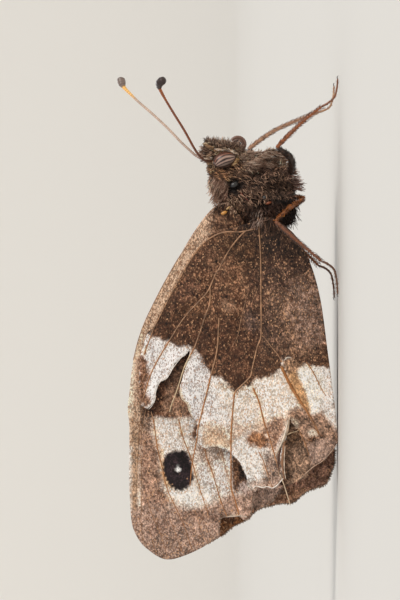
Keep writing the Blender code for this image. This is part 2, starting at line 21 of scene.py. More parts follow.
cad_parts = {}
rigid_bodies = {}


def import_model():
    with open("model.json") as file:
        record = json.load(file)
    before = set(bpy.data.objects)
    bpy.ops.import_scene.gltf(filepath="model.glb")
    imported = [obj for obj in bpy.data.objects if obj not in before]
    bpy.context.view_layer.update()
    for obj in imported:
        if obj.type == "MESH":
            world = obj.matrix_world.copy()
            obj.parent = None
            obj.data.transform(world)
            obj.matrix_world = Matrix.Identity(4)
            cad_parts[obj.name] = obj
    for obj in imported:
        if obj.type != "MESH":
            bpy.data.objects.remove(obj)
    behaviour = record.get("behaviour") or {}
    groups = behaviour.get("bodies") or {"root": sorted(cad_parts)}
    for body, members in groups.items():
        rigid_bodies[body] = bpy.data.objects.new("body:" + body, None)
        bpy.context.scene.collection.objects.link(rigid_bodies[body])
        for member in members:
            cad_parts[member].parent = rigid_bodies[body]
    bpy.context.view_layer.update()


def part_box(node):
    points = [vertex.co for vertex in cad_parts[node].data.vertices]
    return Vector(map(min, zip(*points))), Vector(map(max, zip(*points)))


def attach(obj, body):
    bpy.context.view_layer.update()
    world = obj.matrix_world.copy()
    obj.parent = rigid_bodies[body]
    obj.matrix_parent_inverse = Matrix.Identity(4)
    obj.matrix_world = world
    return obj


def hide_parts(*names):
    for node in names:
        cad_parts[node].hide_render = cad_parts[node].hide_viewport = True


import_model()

MM = 0.001
head_low, head_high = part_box("head")
BODY_Y = (head_low.y + head_high.y) / 2 / MM
SIDES = {"right": -1, "left": 1}

# %% [markdown]
# ## One helper for every node
# Materials and Geometry Nodes are both made of nodes, so one function adds any of them. It takes the
# node's own settings by name, and what feeds its inputs: a plain value, or another node's output.
# Colours are picked as sRGB hex values, as a paint chart shows them, and Blender computes in linear
# light, so one function turns them.

# %% Nodes and colours
def add(tree, kind, feeds=None, **settings):
    """Adds a node to a tree, with its settings and what feeds its inputs."""
    made = tree.nodes.new(kind)
    for name, value in settings.items():
        setattr(made, name, value)
    for key, source in (feeds or {}).items():
        if isinstance(source, bpy.types.NodeSocket):
            tree.links.new(source, made.inputs[key])
        else:
            made.inputs[key].default_value = source
    return made


def linear(colour):
    """Linear red, green and blue of an sRGB hex colour."""
    parts = [int(colour[i:i + 2], 16) / 255 for i in (1, 3, 5)]
    return np.array([c / 12.92 if c <= 0.04045 else ((c + 0.055) / 1.055) ** 2.4 for c in parts])


def with_alpha(colour):
    return (*linear(colour), 1.0)


def blended(first, second, share):
    """Goes from the first value to the second as the share goes from 0 to 1."""
    return first + (second - first) * share


def new_material(name, values):
    """A material, its node tree, and its main shader with some plain input values."""
    material = bpy.data.materials.new(name)
    material.use_nodes = True
    shader = material.node_tree.nodes["Principled BSDF"]
    for label, value in values.items():
        shader.inputs[label].default_value = value
    return material, material.node_tree, shader


def shown(name, data):
    """A new object in the scene."""
    made = bpy.data.objects.new(name, data)
    bpy.context.scene.collection.objects.link(made)
    return made


# %% [markdown]
# ## Camera, floor and light
# The camera looks at the butterfly's right side from far off with a long lens, so near and far wings
# keep one scale. The animal rested head up on an upright surface. Here it stands on a floor, and the
# camera is rolled a quarter turn with it, so the picture still has the head at the top. The floor
# is a wide round dish whose rim curves up far away, which hides the horizon from every side.

# %% Camera
PIXEL = 0.085  # millimetres of the model to one pixel of the picture, at the wings
FRAME_PIXELS = (400, 600)
VIEW_CENTRE = (1.57, -0.6, 11.73)
CAMERA_DISTANCE = 400.0

camera = shown("camera", bpy.data.cameras.new("camera"))
camera.data.sensor_width = 36.0
camera.data.lens = camera.data.sensor_width * CAMERA_DISTANCE / (FRAME_PIXELS[1] * PIXEL)
camera.data.clip_start = 0.01
camera.data.clip_end = 20.0
eye_x, eye_y, eye_z = (v * MM for v in VIEW_CENTRE)
# The picture's right is down to the floor, its top is the way the head points
camera.matrix_world = Matrix(((0, 1, 0, eye_x), (0, 0, -1, eye_y - CAMERA_DISTANCE * MM),
                              (-1, 0, 0, eye_z), (0, 0, 0, 1)))
bpy.context.scene.camera = camera
print("lens", round(camera.data.lens, 1), "mm")

# %% Floor
FLOOR_RADIUS = 1.6
RIM_HEIGHT = 0.5
RIM_BEND = 0.45
FLOOR_COLOUR = "#D9D6D0"
BEND_STEPS = 12
ROUND_STEPS = 96


def matt_paint(name, colour):
    """Matt wall paint: no gloss, and a faint unevenness of the roller."""
    material, tree, shader = new_material(name, {"Roughness": 0.9})
    place = add(tree, "ShaderNodeTexCoord").outputs["Object"]
    cloud = add(tree, "ShaderNodeTexNoise", {"Vector": place, "Scale": 3.0}).outputs["Fac"]
    ramp = add(tree, "ShaderNodeValToRGB", {"Fac": cloud})
    ramp.color_ramp.elements[0].color = (*linear(colour) * 0.97, 1)
    ramp.color_ramp.elements[1].color = with_alpha(colour)
    tree.links.new(ramp.outputs["Color"], shader.inputs["Base Color"])
    return material


def floor_dish():
    """A flat floor whose rim curves up into a low wall, turned about the middle."""
    profile = [(0.0, 0.0), (0.3, 0.0), (0.8, 0.0), (FLOOR_RADIUS - RIM_BEND, 0.0)]
    for step in range(1, BEND_STEPS + 1):
        angle = math.pi / 2 * step / BEND_STEPS
        profile.append((FLOOR_RADIUS - RIM_BEND + RIM_BEND * math.sin(angle),
                        RIM_BEND * (1 - math.cos(angle))))
    profile.append((FLOOR_RADIUS, RIM_HEIGHT))
    model = bmesh.new()
    run = [model.verts.new((radius, 0.0, height)) for radius, height in profile]
    edges = [model.edges.new(pair) for pair in zip(run, run[1:])]
    bmesh.ops.spin(model, geom=run + edges, cent=(0, 0, 0), axis=(0, 0, 1), angle=2 * math.pi,
                   steps=ROUND_STEPS, use_duplicate=False)
    bmesh.ops.remove_doubles(model, verts=model.verts, dist=1e-5)
    bmesh.ops.recalc_face_normals(model, faces=model.faces)
    if sum(face.normal.z for face in model.faces) < 0:
        bmesh.ops.reverse_faces(model, faces=model.faces)
    mesh = bpy.data.meshes.new("floor")
    model.to_mesh(mesh)
    model.free()
    mesh.shade_smooth()
    mesh.materials.append(matt_paint("pale matt paint", FLOOR_COLOUR))
    return mesh


floor = shown("floor", floor_dish())
print("floor", len(floor.data.polygons), "faces")

# %% Light
LIGHTS = {
    # name: direction that the light comes from, width of the source in degrees, strength, colour
    "key": ((0.75, -0.75, 0.85), 30, 1.75, "#FFF9F2"),
    "fill": ((-0.4, -0.9, 0.15), 70, 0.5, "#F5F8FF"),
    "back": ((-0.2, 0.9, 0.6), 50, 0.9, "#FFFFFF"),
}
WORLD_COLOUR = "#F1F2F3"
WORLD_STRENGTH = 0.62

for light_name, (direction, width, strength, colour) in LIGHTS.items():
    data = bpy.data.lights.new(light_name, "SUN")
    data.angle = math.radians(width)
    data.energy = strength
    data.color = linear(colour)
    lamp = shown(light_name, data)
    lamp.rotation_euler = Vector(direction).to_track_quat("Z", "Y").to_euler()

world = bpy.data.worlds.new("studio")
world.use_nodes = True
world.node_tree.nodes["Background"].inputs["Color"].default_value = with_alpha(WORLD_COLOUR)
world.node_tree.nodes["Background"].inputs["Strength"].default_value = WORLD_STRENGTH
bpy.context.scene.world = world
bpy.context.scene.view_settings.view_transform = "Standard"
print("lights", list(LIGHTS))

# %% [markdown]
# ## Lines, distances and noise
# Every wing part follows a few given points: an outline, a vein, the rim of a spot. A smooth curve
# goes through them, and the distance of a place on the wing to such a line says which colour it gets
# and how high it stands. NumPy does this for all places of a wing at once.

# %% Curves and distances
def between(a, b, c, d, t):
    """A share t of the way from b to c on a smooth curve through four points (Catmull-Rom)."""
    return 0.5 * (2 * b + (c - a) * t + (2 * a - 5 * b + 4 * c - d) * t ** 2
                  + (3 * b - a - 3 * c + d) * t ** 3)


def with_ends(points):
    """The points with one more before and after them, straight on."""
    return np.vstack([2 * points[0] - points[1], points, 2 * points[-1] - points[-2]])


def reach_of(line):
    """How far along a line each of its points is."""
    return np.concatenate([[0], np.cumsum(np.linalg.norm(np.diff(line, axis=0), axis=1))])


def unit(ways):
    """The same ways, each of length 1."""
    return ways / np.linalg.norm(ways, axis=-1, keepdims=True)


def stood(flat, out):
    """Places of the side view, each set out sideways."""
    return np.stack([flat[:, 0], out, flat[:, 1]], axis=1)


def rounded(points, steps=8):
    """A smooth line through given points."""
    guides = with_ends(np.array(points, float))
    curve = []
    for a, b, c, d in zip(guides, guides[1:], guides[2:], guides[3:]):
        for t in np.arange(steps) / steps:
            curve.append(between(a, b, c, d, t))
    return np.array(curve + [guides[-2]])


def evenly(line, spacing):
    """The same line, its points about one spacing apart."""
    line = np.asarray(line, float)
    reach = reach_of(line)
    count = max(1, round(reach[-1] / spacing))
    wanted = np.linspace(0, reach[-1], count + 1)
    return np.stack([np.interp(wanted, reach, line[:, k]) for k in range(line.shape[1])], axis=1)


def distance_to(places, line):
    """How far each place is from a line."""
    best = np.full(len(places), np.inf)
    for a, b in zip(line, line[1:]):
        leg = b - a
        share = np.clip((places - a) @ leg / max(leg @ leg, 1e-12), 0, 1)
        best = np.minimum(best, np.linalg.norm(places - a - share[:, None] * leg, axis=1))
    return best


def within(places, outline):
    """Which places lie inside a closed outline."""
    odd = np.zeros(len(places), bool)
    for a, b in zip(outline, np.roll(outline, -1, axis=0)):
        if a[1] == b[1]:
            continue
        crosses = (a[1] > places[:, 1]) != (b[1] > places[:, 1])
        reach = a[0] + (places[:, 1] - a[1]) / (b[1] - a[1]) * (b[0] - a[0])
        odd ^= crosses & (places[:, 0] < reach)
    return odd


def depth_in(places, outline):
    """How far each place is inside a closed outline, or as a negative value outside it."""
    outline = np.asarray(outline, float)
    gap = distance_to(places, np.vstack([outline, outline[:1]]))
    return np.where(within(places, outline), gap, -gap)


def smooth(share):
    """Eases from 0 to 1 as share goes from 0 to 1."""
    share = np.clip(share, 0, 1)
    return share * share * (3 - 2 * share)


def wander(places, size, seed=0):
    """Smooth noise, about -1 to 1, with lumps of one size in millimetres."""
    tall = np.zeros((len(places), 3))
    tall[:, :places.shape[1]] = places
    tall = tall / size + 17.3 * seed
    return np.array([noise.noise(Vector(p)) for p in tall]) * 1.6


# %% [markdown]
# ## The wings' outlines
# They are measured in the side view, in x towards the head and z up from the ground, either in
# millimetres or traced in pixels of the picture, which one function turns into millimetres. The left
# wings are whole. The right ones, nearest to the camera, are old and torn: a piece is missing from
# the middle of the hindwing's edge, and most of the margins are broken away.

# %% Wing outlines
MIDDLE_ROW = 318.5  # the picture's row at x = 0
GROUND_COLUMN = 338.0  # the picture's column at z = 0


def traced(spots):
    """Spots measured on the picture, "column,row column,row", as places (x, z) in millimetres."""
    pairs = [[float(value) for value in spot.split(",")] for spot in spots.split()]
    return [((MIDDLE_ROW - row) * PIXEL, (GROUND_COLUMN - column) * PIXEL) for column, row in pairs]


FOREWING_FRONT = [
    (9.9, 9.3), (9.5, 10.5), (7.8, 11.95), (5.2, 13.55), (2.8, 14.93), (-0.4, 16.53), (-2.6, 17.2),
    (-4.5, 17.55), (-6.4, 17.75), (-7.8, 17.9), (-9.3, 17.75), (-13.7, 17.77), (-17.0, 17.6),
    (-18.2, 17.3), (-19.2, 16.7), (-19.9, 15.9), (-20.4, 15.1), (-20.55, 14.4), (-20.4, 13.6),
    (-19.95, 12.4), (-19.45, 11.4),
]
FOREWING_MARGIN = [(-18.6, 9.9), (-17.0, 7.5), (-15.4, 5.4), (-13.3, 4.0), (-10.3, 3.2)]
FOREWING_INNER = [(-6.9, 3.8), (-2.7, 4.9), (2.4, 6.4), (6.2, 7.4), (8.3, 8.0)]
HINDWING_FRONT = [
    (8.2, 7.2), (7.9, 8.3), (7.45, 10.0), (6.85, 11.2), (5.2, 12.65), (4.0, 13.5), (1.4, 15.05),
    (-0.7, 16.0), (-2.3, 16.55), (-3.35, 16.85),
]
HINDWING_MARGIN = [
    (-5.4, 17.0), (-7.4, 16.8), (-9.6, 16.2), (-11.6, 15.3), (-13.4, 13.9), (-14.9, 12.1),
    (-16.0, 10.0), (-16.45, 8.0), (-16.1, 6.0), (-15.9, 4.1), (-15.2, 2.9), (-14.5, 1.7),
    (-13.9, 0.6), (-11.3, 0.03),
]
HINDWING_INNER = [
    (-9.8, 0.03), (-6.9, 0.35), (-2.7, 0.9), (1.6, 1.5), (4.8, 2.4), (7.0, 3.6), (8.3, 5.2),
    (8.6, 6.3),
]
SCALLOP_DEPTH = 0.16
SCALLOP_WIDTH = 1.25

# The broken edges, point by point from the front edge round to the inner one
FOREWING_TORN = traced(
    "208,544.8 213,541 217,539 219,538 219.4,533 219,528 220,523 219.6,518.6 224,517.4 230,516.8 "
    "236,516.8 240,516.2 243,519.5 246,520.6 249,519 251.5,516 251.6,510 252.6,503 253.4,496 "
    "253.6,489 258,478 272,466 283,452 292,436")
HINDWING_TORN = traced(
    "139.6,366 138.8,376 139.2,388 139.8,398 141,405.8 143.5,406.6 146.4,408 148.2,409 150,406.4 "
    "152.2,404 154.4,402 155.1,399 155.4,395 156,391 157,387 158.5,384 160,382.2 163,381 165,380 "
    "167,378.4 169,376 171,372 173,368 175,364 177,361 180,359 183,357 185.6,355 187.5,351.6 "
    "190,350 189.6,354 187.8,358 186,363 185,368 183.6,373 182.2,379 180.6,385 179.6,390 "
    "179.7,395 181.4,398 184,401 187,403.6 188.6,407 190,412 191.2,415 193,418 196,421 197.4,426 "
    "197,432 196,437 196.6,441 199,443.6 202,447 206,448.4 212,447 217,446.6 221,448 226,450 "
    "231,453 235,457 240,463 244,471 247,478 250,484 253,488.6 254.6,492 256,490.4 258,488 "
    "262,487 265,488.6 268,486.4 272,489 276,488 279,485 281,481 283.5,478 284,474 283,470 "
    "283.6,465 282.6,459 282.6,453 284,447 285,441 286.4,436 287.6,430 288.6,423 289,417 291,421 "
    "293,425 295.6,428.4 298,429 300.4,436 304,445 307,451 309.4,457 311,463 310.2,467.4 "
    "312.4,467.4 316,464 320,462 325,460 328,455.5 331,451 334.4,446.4 337.6,442.4")
# A loose lobe of the hindwing that has slipped behind the rest
LOBE = traced(
    "289,416 297,424 303,432 309,444 314,458 312,466 309.4,471 308.4,476 305,478 301,480 "
    "298.4,482.4 295,482.4 290,485 284,486 280,484 279,470 279,455 281,440 284,426")

# %% [markdown]
# ## Veins
# Thin horny tubes carry the wing. Each is drawn through a few points from the root outwards.
# On this worn animal several stand bare, one sticking out into the torn hole.

# %% Vein lines
def traced_all(lines):
    return {name: traced(line) for name, line in lines.items()}


FOREWING_VEINS = traced_all({
    "costa":
        "222,204 212,212 203,221.5 189.5,241.5 177,260 165.5,280 155,300 145,321 138,340 133,360",
    "radius": "143,404 139,430 137,470 135.5,512",
    "radius_2": "146,408 141,440 141.5,490 141,530 146,549",
    "media_1": "151,412 154,425 157,447 162,468 167,489 175,507 184,526 188,538 192,551",
    "media_2": "178.5,419 182,435 186,446 191,459 197,480 200,490 206,508 209,518",
    "media_3": "195,400 212,440 219,448 229,480 233,500 237,516",
    "cubitus": "200,420 206,455 212,472 222,505 227,517",
    "cubitus_2": "222,420 235,455 243,468 250,480",
    "lower_1": "147,501 153,518 161,536 167,557",
    "lower_2": "149,530 152,540 156,555",
    "lower_3": "169,518 175,533 182,553",
    "lower_4": "195,511 201,531 208,545",
})
HINDWING_VEINS = traced_all({
    "subcosta":
        "252.8,229.5 240,232 229,231.8 220,233.3 211,237.6 203.8,243 196.6,251.2 189,262.2 "
        "180,277.9 171,294 162,311.8 154.5,326.8 151,336 147,346 144,355",
    "sector":
        "245.5,231 240,236.2 234.6,242.6 230,249 225.6,256.2 220,267 214.7,276 209.6,288 205,295 "
        "198.4,302 189.3,311.5 180.3,323 171,338 162,352.5 155,365 149.5,377.5 144,395.7 "
        "141.5,403",
    "media_1":
        "210,288 210.2,293 209.6,304 206.5,312.5 203,323 199.3,334 194,348.5 188.6,358 184.8,366 "
        "182,374 179.6,382 177,390 174,398 171.4,405 169.6,412",
    "media_2": "219,318 217,350 211,375 206,396 202,412 198,428 196.6,440 192,465 190,486",
    "media_3": "246,300 241,319 238,335 232,347",
    "cubitus":
        "258,218 260.5,256 261,300 261,335 257,348 252,370 250,377 240,387 235,392 234,398 "
        "232,420 231,440 231,470 231.4,488 235,500 239,515",
    "cubitus_2": "253,388 259,402 264,422 269,437 276,460 279,472 284,485 290,504.5",
    "cubitus_3": "259,452 263,460 267,472 272,487",
    "anal_root": "263,336 267,341 272.7,348.5 278,355 281.7,362",
    "anal": "281,366 290,385 300,401 309,415 317,430 320,437",
    "anal_2": "306,362 313,372 321,388 326,396",
    "anal_3": "298,429 304,441 309,455",
})

# %% [markdown]
# ## Colours of the scales
# A wing gets its colours from scales about a tenth of a millimetre wide, each of one plain colour.
# So a region isn't one paint but a mix: a main colour, and shares of dark, pale and tan scales.
# Each patch has an outline, a softness and a raggedness of its rim, and is laid over those before it.
# A patch with a width is a band along its line instead.

# %% Patches of colour
Patch = namedtuple("Patch", "colour mix line soft ragged strength width",
                   defaults=(0.2, 0.2, 1.0, 0.0))
# mix is (share of dark scales, share of pale scales, share of tan scales), line is in the picture

UNDER_HINDWING = Patch("#D2C7BE", (0.07, 0.36, 0.16), [])
HINDWING_PATCHES = {
    "speckled white": Patch("#CBC4C2", (0.17, 0.42, 0.05),
        "140,330 206,356 214,376 216,400 208,430 196,440 180,440 130,400", 0.8, 0.4),
    "cream": Patch("#DACBBB", (0.03, 0.34, 0.32),
        "216,384 262,372 302,372 304,404 288,428 262,440 240,420 222,404", 0.8, 0.5),
    "white low": Patch("#DDD3C9", (0.04, 0.32, 0.12),
        "229,446 242,440 262,450 270,468 262,482 246,478", 0.5, 0.3),
    "cloud left": Patch("#BEA28A", (0.10, 0.24, 0.32),
        "204,422 214,424 226,428 229,446 216,449 203,446", 0.45, 0.5),
    "cloud middle": Patch("#8E6243", (0.22, 0.05, 0.25),
        "247,437 252,431 262,430 270,438 269,447 258,448.5 248,445", 0.25, 0.35),
    "cloud upper": Patch("#A98468", (0.2, 0.1, 0.3),
        "232,420 244,424 262,421 284,417 286,424 276,428 262,432 246,432 234,440", 0.5, 0.5, 0.6),
    "smudge": Patch("#8F705D", (0.26, 0.14, 0.12),
        "265,424 272,419 285,419 285,430 280,441 275,452 269,446", 0.25, 0.3),
    "low brown": Patch("#705340", (0.22, 0.14, 0.2),
        "262,452 270,450 277,456 284,462 285,480 272,490 262,488 264,470", 0.45, 0.4, 0.85),
    "margin": Patch("#A58B7C", (0.14, 0.16, 0.15),
        "248,480 260,481 272,483 284,476 288,492 250,496", 0.3, 0.3, 0.8),
    "torn rim": Patch("#EEE6DF", (0, 0.5, 0),
        "148,409 154.6,401 156,391 160,382 167,378 173,368 180,359 187,352",
        0.14, 0.12, width=0.34),
    "edge of the hole": Patch("#D2BDA2", (0.02, 0.2, 0.1),
        "179.6,390 181.4,398 187,403.6 190,412", 0.12, 0.05, width=0.3),
    "brown corner": Patch("#84604A", (0.3, 0.08, 0.15),
        "138,357 144,357 147,364 150,374 146,388 142,404 137,404", 0.2, 0.3),
    "brown corner low": Patch("#7A5A46", (0.3, 0.05, 0.1),
        "143,393 149,395 151,402 147,408 142,406", 0.2, 0.2),
    "tan rubbed": Patch("#8B6B52", (0.03, 0.02, 0.1),
        "282,359 290,357.5 302,362 309,367 303,374 294,386 285,372", 0.12, 0.12),
    "cream piece": Patch("#E3D9CA", (0.01, 0.5, 0.06),
        "296,378 300,368 307,364 316,368 324,378 326,392 321,400 320,411 312,414 306,406 303,394",
        0.2, 0.15),
    "tan by the vein": Patch("#B88D64", (0.02, 0.02, 0.05),
        "288,372 296,372 300,380 306,392 309,404 311,414 300,406 290,388", 0.12, 0.1),
    "bare below": Patch("#957662", (0.06, 0.04, 0.1),
        "287,412 298,406 312,414 321,411 330,422 342,436 342,460 318,470 308,470 296,432 290,424",
        0.25, 0.2),
    "pale flake": Patch("#C9B9A8", (0.1, 0.3, 0.1),
        "307,431 312,429 318,432 317,436 310,436", 0.08, 0.05),
    "pale slit": Patch("#CDBBA6", (0.1, 0.3, 0.1),
        "290,418 296,419 299,424 297,429 293,425", 0.12, 0.1, 0.8),
    # painted shade: a dark line along the crease of the hindwing
    "painted shade in the fold": Patch("#5E3A20", (0, 0, 0.1), "309,440 316,437.5 323,436", 0.1, 0.05, width=0.3),
    "mauve end": Patch("#9A7F70", (0.04, 0.05, 0.10),
        "306,446 320,438 336,440 342,450 320,468 309,464", 0.3, 0.2),
    "dark base": Patch("#5B3F2C", (0.36, 0.012, 0.15),
        "130,332 151.5,333 153,337 162,339.5 169,340.5 177,346 188,345.5 193,347 199,353 205,363 "
        "210,373 213,377.5 220,378 226,381 229,385 235,392.5 238,389 242,385 247,385.5 251,384.5 "
        "256,379 268,377 275,373 281,368 282,365 281,361 284,358.5 289,357 300,362 311,364.5 "
        "319,367 350,370 350,190 120,190 120,330", 0.1, 0.22),
    "base middle": Patch("#664734", (0.28, 0.02, 0.3),
        "200,246 226,236 262,262 262,318 240,320 214,318 196,300 186,280", 0.9, 0.6, 0.9),
    "base right": Patch("#735847", (0.24, 0.03, 0.34),
        "264,268 300,262 318,280 320,352 300,356 284,352 266,340", 0.8, 0.5),
    "base low": Patch("#543828", (0.36, 0.015, 0.14),
        "152,318 262,322 264,372 235,390 205,362 193,346 152,334", 0.7, 0.5, 0.85),
    "tan blotch": Patch("#96735C", (0.14, 0.05, 0.35),
        "221,299 233,301 238,306 235,311 226,312 221,308", 0.25, 0.3, 0.8),
    "tan streak": Patch("#8C684F", (0.14, 0.05, 0.35),
        "243,262 247,268 248,296 244,299 241,292 241,270", 0.25, 0.3, 0.7),
    "pale brown blotch": Patch("#684A38", (0.16, 0.02, 0.2),
        "203,252 213,247 224,255 222,270 210,275 201,268", 0.4, 0.4, 0.7),
    "left blotch": Patch("#724F3E", (0.2, 0.03, 0.2),
        "182,284 196,280 200,290 194,300 180,304 174,298", 0.4, 0.4, 0.7),
    "grey blotch": Patch("#6C5951", (0.22, 0.05, 0.1),
        "244,312 258,314 262,326 254,332 246,324", 0.4, 0.3, 0.8),
    "lighter by the body": Patch("#8C7264", (0.26, 0.02, 0.2),
        "288,270 306,276 330,300 334,345 306,345 290,320", 0.8, 0.6, 0.7),
    # dark scales along the vein, with painted shadow beside and below it
    "dark scales and painted shadow by the vein": Patch("#443026", (0.3, 0.01, 0.2),
        "240,252 262,252 264,300 278,304 278,340 262,336 242,322 246,290", 0.5, 0.5, 0.6),
    "dark scales and painted shadow below the vein": Patch("#4E382C", (0.3, 0.01, 0.2),
        "256,322 284,326 290,350 262,352", 0.5, 0.5, 0.6),
    "dark above": Patch("#442F25", (0.28, 0.004, 0.16),
        "254,236 300,236 322,262 300,280 280,290 262,288", 0.8, 0.5, 0.85),
    "dark by the front": Patch("#4E3426", (0.32, 0.004, 0.14),
        "196,258 208,250 206,268 186,296 166,318 158,312 180,280", 0.5, 0.5, 0.6),
    "dark below the hair": Patch("#46301F", (0.3, 0.01, 0.16),
        "214,231 262,230 262,264 244,272 226,258 214,246", 0.8, 0.5, 0.65),
    "front edge": Patch("#B59A83", (0.26, 0.34, 0.22),
        "206,212 214,224 206,240 191.5,257 179,277.5 163.5,306.5 151.5,330 140,332 140,300 "
        "160,268 185,232", 0.14, 0.12),
    "front root": Patch("#5B4030", (0.3, 0.01, 0.3),
        "209,204 240,200 254,226 232,229 214,233 207,239 212,226", 0.35, 0.5, 0.9),
    "dark root": Patch("#34241B", (0.2, 0.01, 0.14),
        "222,196 238,232 262,252 300,262 330,262 330,190 240,190", 0.9, 0.5, 0.9),
}
UNDER_FOREWING = Patch("#D2C4B8", (0.05, 0.30, 0.18), [])
FOREWING_PATCHES = {
    "brown field": Patch("#6E4B37", (0.30, 0.015, 0.12),
        "190,190 350,190 350,440 190,440 197,421 190,417.5 181,416.5 172,419 163,417.5 152,418 "
        "150,400 150,360", 0.12, 0.15),
    "speckled low": Patch("#CBC0B8", (0.22, 0.34, 0.10),
        "194,440 232,440 240,470 236,498 206,496 196,470", 0.5, 0.3),
    "black peppered": Patch("#A8978A", (0.42, 0.26, 0.12),
        "194,438 214,438 228,446 222,458 208,464 196,462", 0.4, 0.4, 0.8),
    "costal strip": Patch("#B59A83", (0.26, 0.34, 0.22),
        "233,206 222,212 206,225 194,243 184,261 170,284 158,306 146,330 139,350 134,372 131,400 "
        "130,430", 0.2, 0.25, width=2.9),
    "hole light": Patch("#9A7862", (0.14, 0.03, 0.2),
        "167,372 176,362 185,366 183,392 190,408 196,417 170,417 161,412 165,392", 0.35, 0.4, 0.85),
    "hole shade": Patch("#3A2317", (0.1, 0, 0.05),
        "146,408 154,400 156,391 160,382 167,378 173,368 180,359 187,352",
        0.4, 0.15, 0.85, width=0.9),
    "costal root": Patch("#573B2A", (0.34, 0.03, 0.25),
        "214,204 236,200 256,216 252,232 232,233 214,236 207,230", 0.5, 0.4, 0.95),
    "costal edge": Patch("#D3BDA9", (0.04, 0.3, 0.2),
        "140,332 135,350 131,372 129.5,398 128,410 130,430", 0.25, 0.2, 0.8, width=0.7),
    "brown shoulder": Patch("#9A7761", (0.26, 0.1, 0.18),
        "136,358 141,362 142,404 136,404", 0.3, 0.3, 0.7),
    # painted shadow: the forewing is darkened here where the torn flap's tip shades it
    "painted shadow under the flap tip": Patch("#43291B", (0.2, 0.01, 0.1),
        "141,403 150,404 156,392 156,412 150,420 142,416", 0.3, 0.2),
    "striped pocket": Patch("#7A6151", (0.3, 0.16, 0.1),
        "138,412 151,414 152,432 149,440 139,438", 0.25, 0.3, 0.9),
    "left margin": Patch("#917260", (0.14, 0.10, 0.20),
        "138,432 152,436 158,452 160,470 164,486 172,502 168,512 140,512", 0.3, 0.3),
    "edge low": Patch("#9E826B", (0.08, 0.16, 0.25),
        "132,420 135,440 134.5,470 134,500 135,516", 0.15, 0.15, width=0.55),
    "cream below the spot": Patch("#E3DACF", (0.02, 0.34, 0.12),
        "163,486 176,493 190,490 202,484 212,492 206,506 184,506 170,500", 0.45, 0.3),
    "margin": Patch("#9A7F70", (0.17, 0.14, 0.17),
        "130,512 146,504 166,506 188,508 206,506 222,499 240,494 262,488 262,570 120,570",
        0.45, 0.35),
    "margin dark": Patch("#876A5A", (0.28, 0.1, 0.14),
        "150,497 163,493 166,500 152,506 144,503", 0.3, 0.3, 0.7),
    "margin line": Patch("#7E5F4E", (0.25, 0.08, 0.15),
        "183,520 192,515 206,516 217,520", 0.35, 0.3, 0.7, width=0.5),
    "apex smudge": Patch("#86695B", (0.25, 0.1, 0.15),
        "150,524 166,518 172,526 160,536 148,538", 0.4, 0.4, 0.6),
    "pink end": Patch("#A18474", (0.12, 0.16, 0.16),
        "228,500 252,490 253,517 240,516 228,517", 0.35, 0.25, 0.8),
    "tan rim of the spot": Patch("#BC9468", (0.05, 0.15, 0.2),
        "160,452 165,448 160,462 161,474 165,486 176,492 168,480 166,466", 0.15, 0.15, 0.8),
    "eyespot": Patch("#251A1D", (0.16, 0.02, 0.008),
        "165,456 169,452.5 174,451 180,450.5 186,452.5 190,457 192,464 192.6,472 194,480 190,487 "
        "183,490 176,490 170,486 165,479 162.6,470 162.6,462", 0.06, 0.2),
    "pupil": Patch("#F1EFEC", (0, 0.4, 0),
        "175.4,470.6 177,468.8 178.2,465.6 179.4,468.2 181.4,469.4 179.6,471 179,473.4 "
        "177.4,471.6", 0.05, 0.04),
    "second spot": Patch("#5E4230", (0.42, 0.08, 0.22),
        "233,455 237,459 242,466 247,475 248,480 242,484 240,491 235,492 232.4,480 231.6,466",
        0.1, 0.2),
    "second spot core": Patch("#1A100D", (0.1, 0.01, 0.04),
        "238.6,466 242,465 247,475 246.6,479 240,479 238,474", 0.1, 0.14, 0.85),
    "mauve scales": Patch("#A08C84", (0.25, 0.3, 0.1),
        "239,483 246,482 249,488 247,494 241,494 238,489", 0.12, 0.2, 0.85),
    "notch rim": Patch("#CDBBAA", (0, 0.3, 0),
        "226,517.4 233,517 241,516.4", 0.06, 0.04, width=0.16),
}
UNDER_LOBE = Patch("#8A6E5A", (0.06, 0.02, 0.06), [])
LOBE_PATCHES = {
    "shade": Patch("#5E4030", (0.06, 0, 0.03),
        "276,416 289,416 286,436 285,460 286,490 276,490", 0.5, 0.1),
    "warm top": Patch("#8C6749", (0.06, 0.02, 0.2),
        "288,434 298,430 302,442 290,446", 0.5, 0.3, 0.7),
}
UPPER_WING = Patch("#8E6A58", (0.18, 0.02, 0.14), [])
UPPER_PATCHES = {
    "soft brown": Patch("#A5897A", (0.06, 0.02, 0.06),
        "246,486 282,484 284,494 274,504 256,512 246,506", 0.4, 0.3),
    "orange brown": Patch("#6B4426", (0.2, 0.02, 0.3),
        "218,520 252,512 262,512 250,530 218,540", 0.4, 0.3),
    "warm edge": Patch("#8E6A54", (0.2, 0.05, 0.25),
        "262,512 270,504 290,492 302,490 304,500 288,510 262,512", 0.3, 0.3),
}


def painted(places, ground, patches):
    """The colour and the mix of scales at each place of a wing."""
    colour = np.tile(linear(ground.colour), (len(places), 1))
    mix = np.tile(np.array(ground.mix), (len(places), 1))
    fine = wander(places, 0.30, 1) + 0.6 * wander(places, 0.13, 2)
    broad = wander(places, 1.1, 3)
    for patch in patches.values():
        outline = np.array(traced(patch.line))
        if patch.width:
            depth = patch.width / 2 - distance_to(places, rounded(outline))
        else:
            depth = depth_in(places, outline)
        depth = depth + patch.ragged * (0.45 * fine + 0.8 * broad * patch.soft)
        share = smooth(depth / (2 * patch.soft) + 0.5)[:, None] * patch.strength
        colour = blended(colour, linear(patch.colour), share)
        mix = blended(mix, np.array(patch.mix), share)
    return colour, mix


print(len(HINDWING_PATCHES) + len(FOREWING_PATCHES), "patches of scales")

# %% [markdown]
# ## The finish of the scales
# Overlapping scales look like fine felt: matt, with a spark of a lighter or darker one here and
# there. A Voronoi texture stretched along the wing gives each scale its cell and a random number,
# and that number, held against the shares in the mix, picks the scale's colour. The cell's rim and a
# slow wave make the bump.

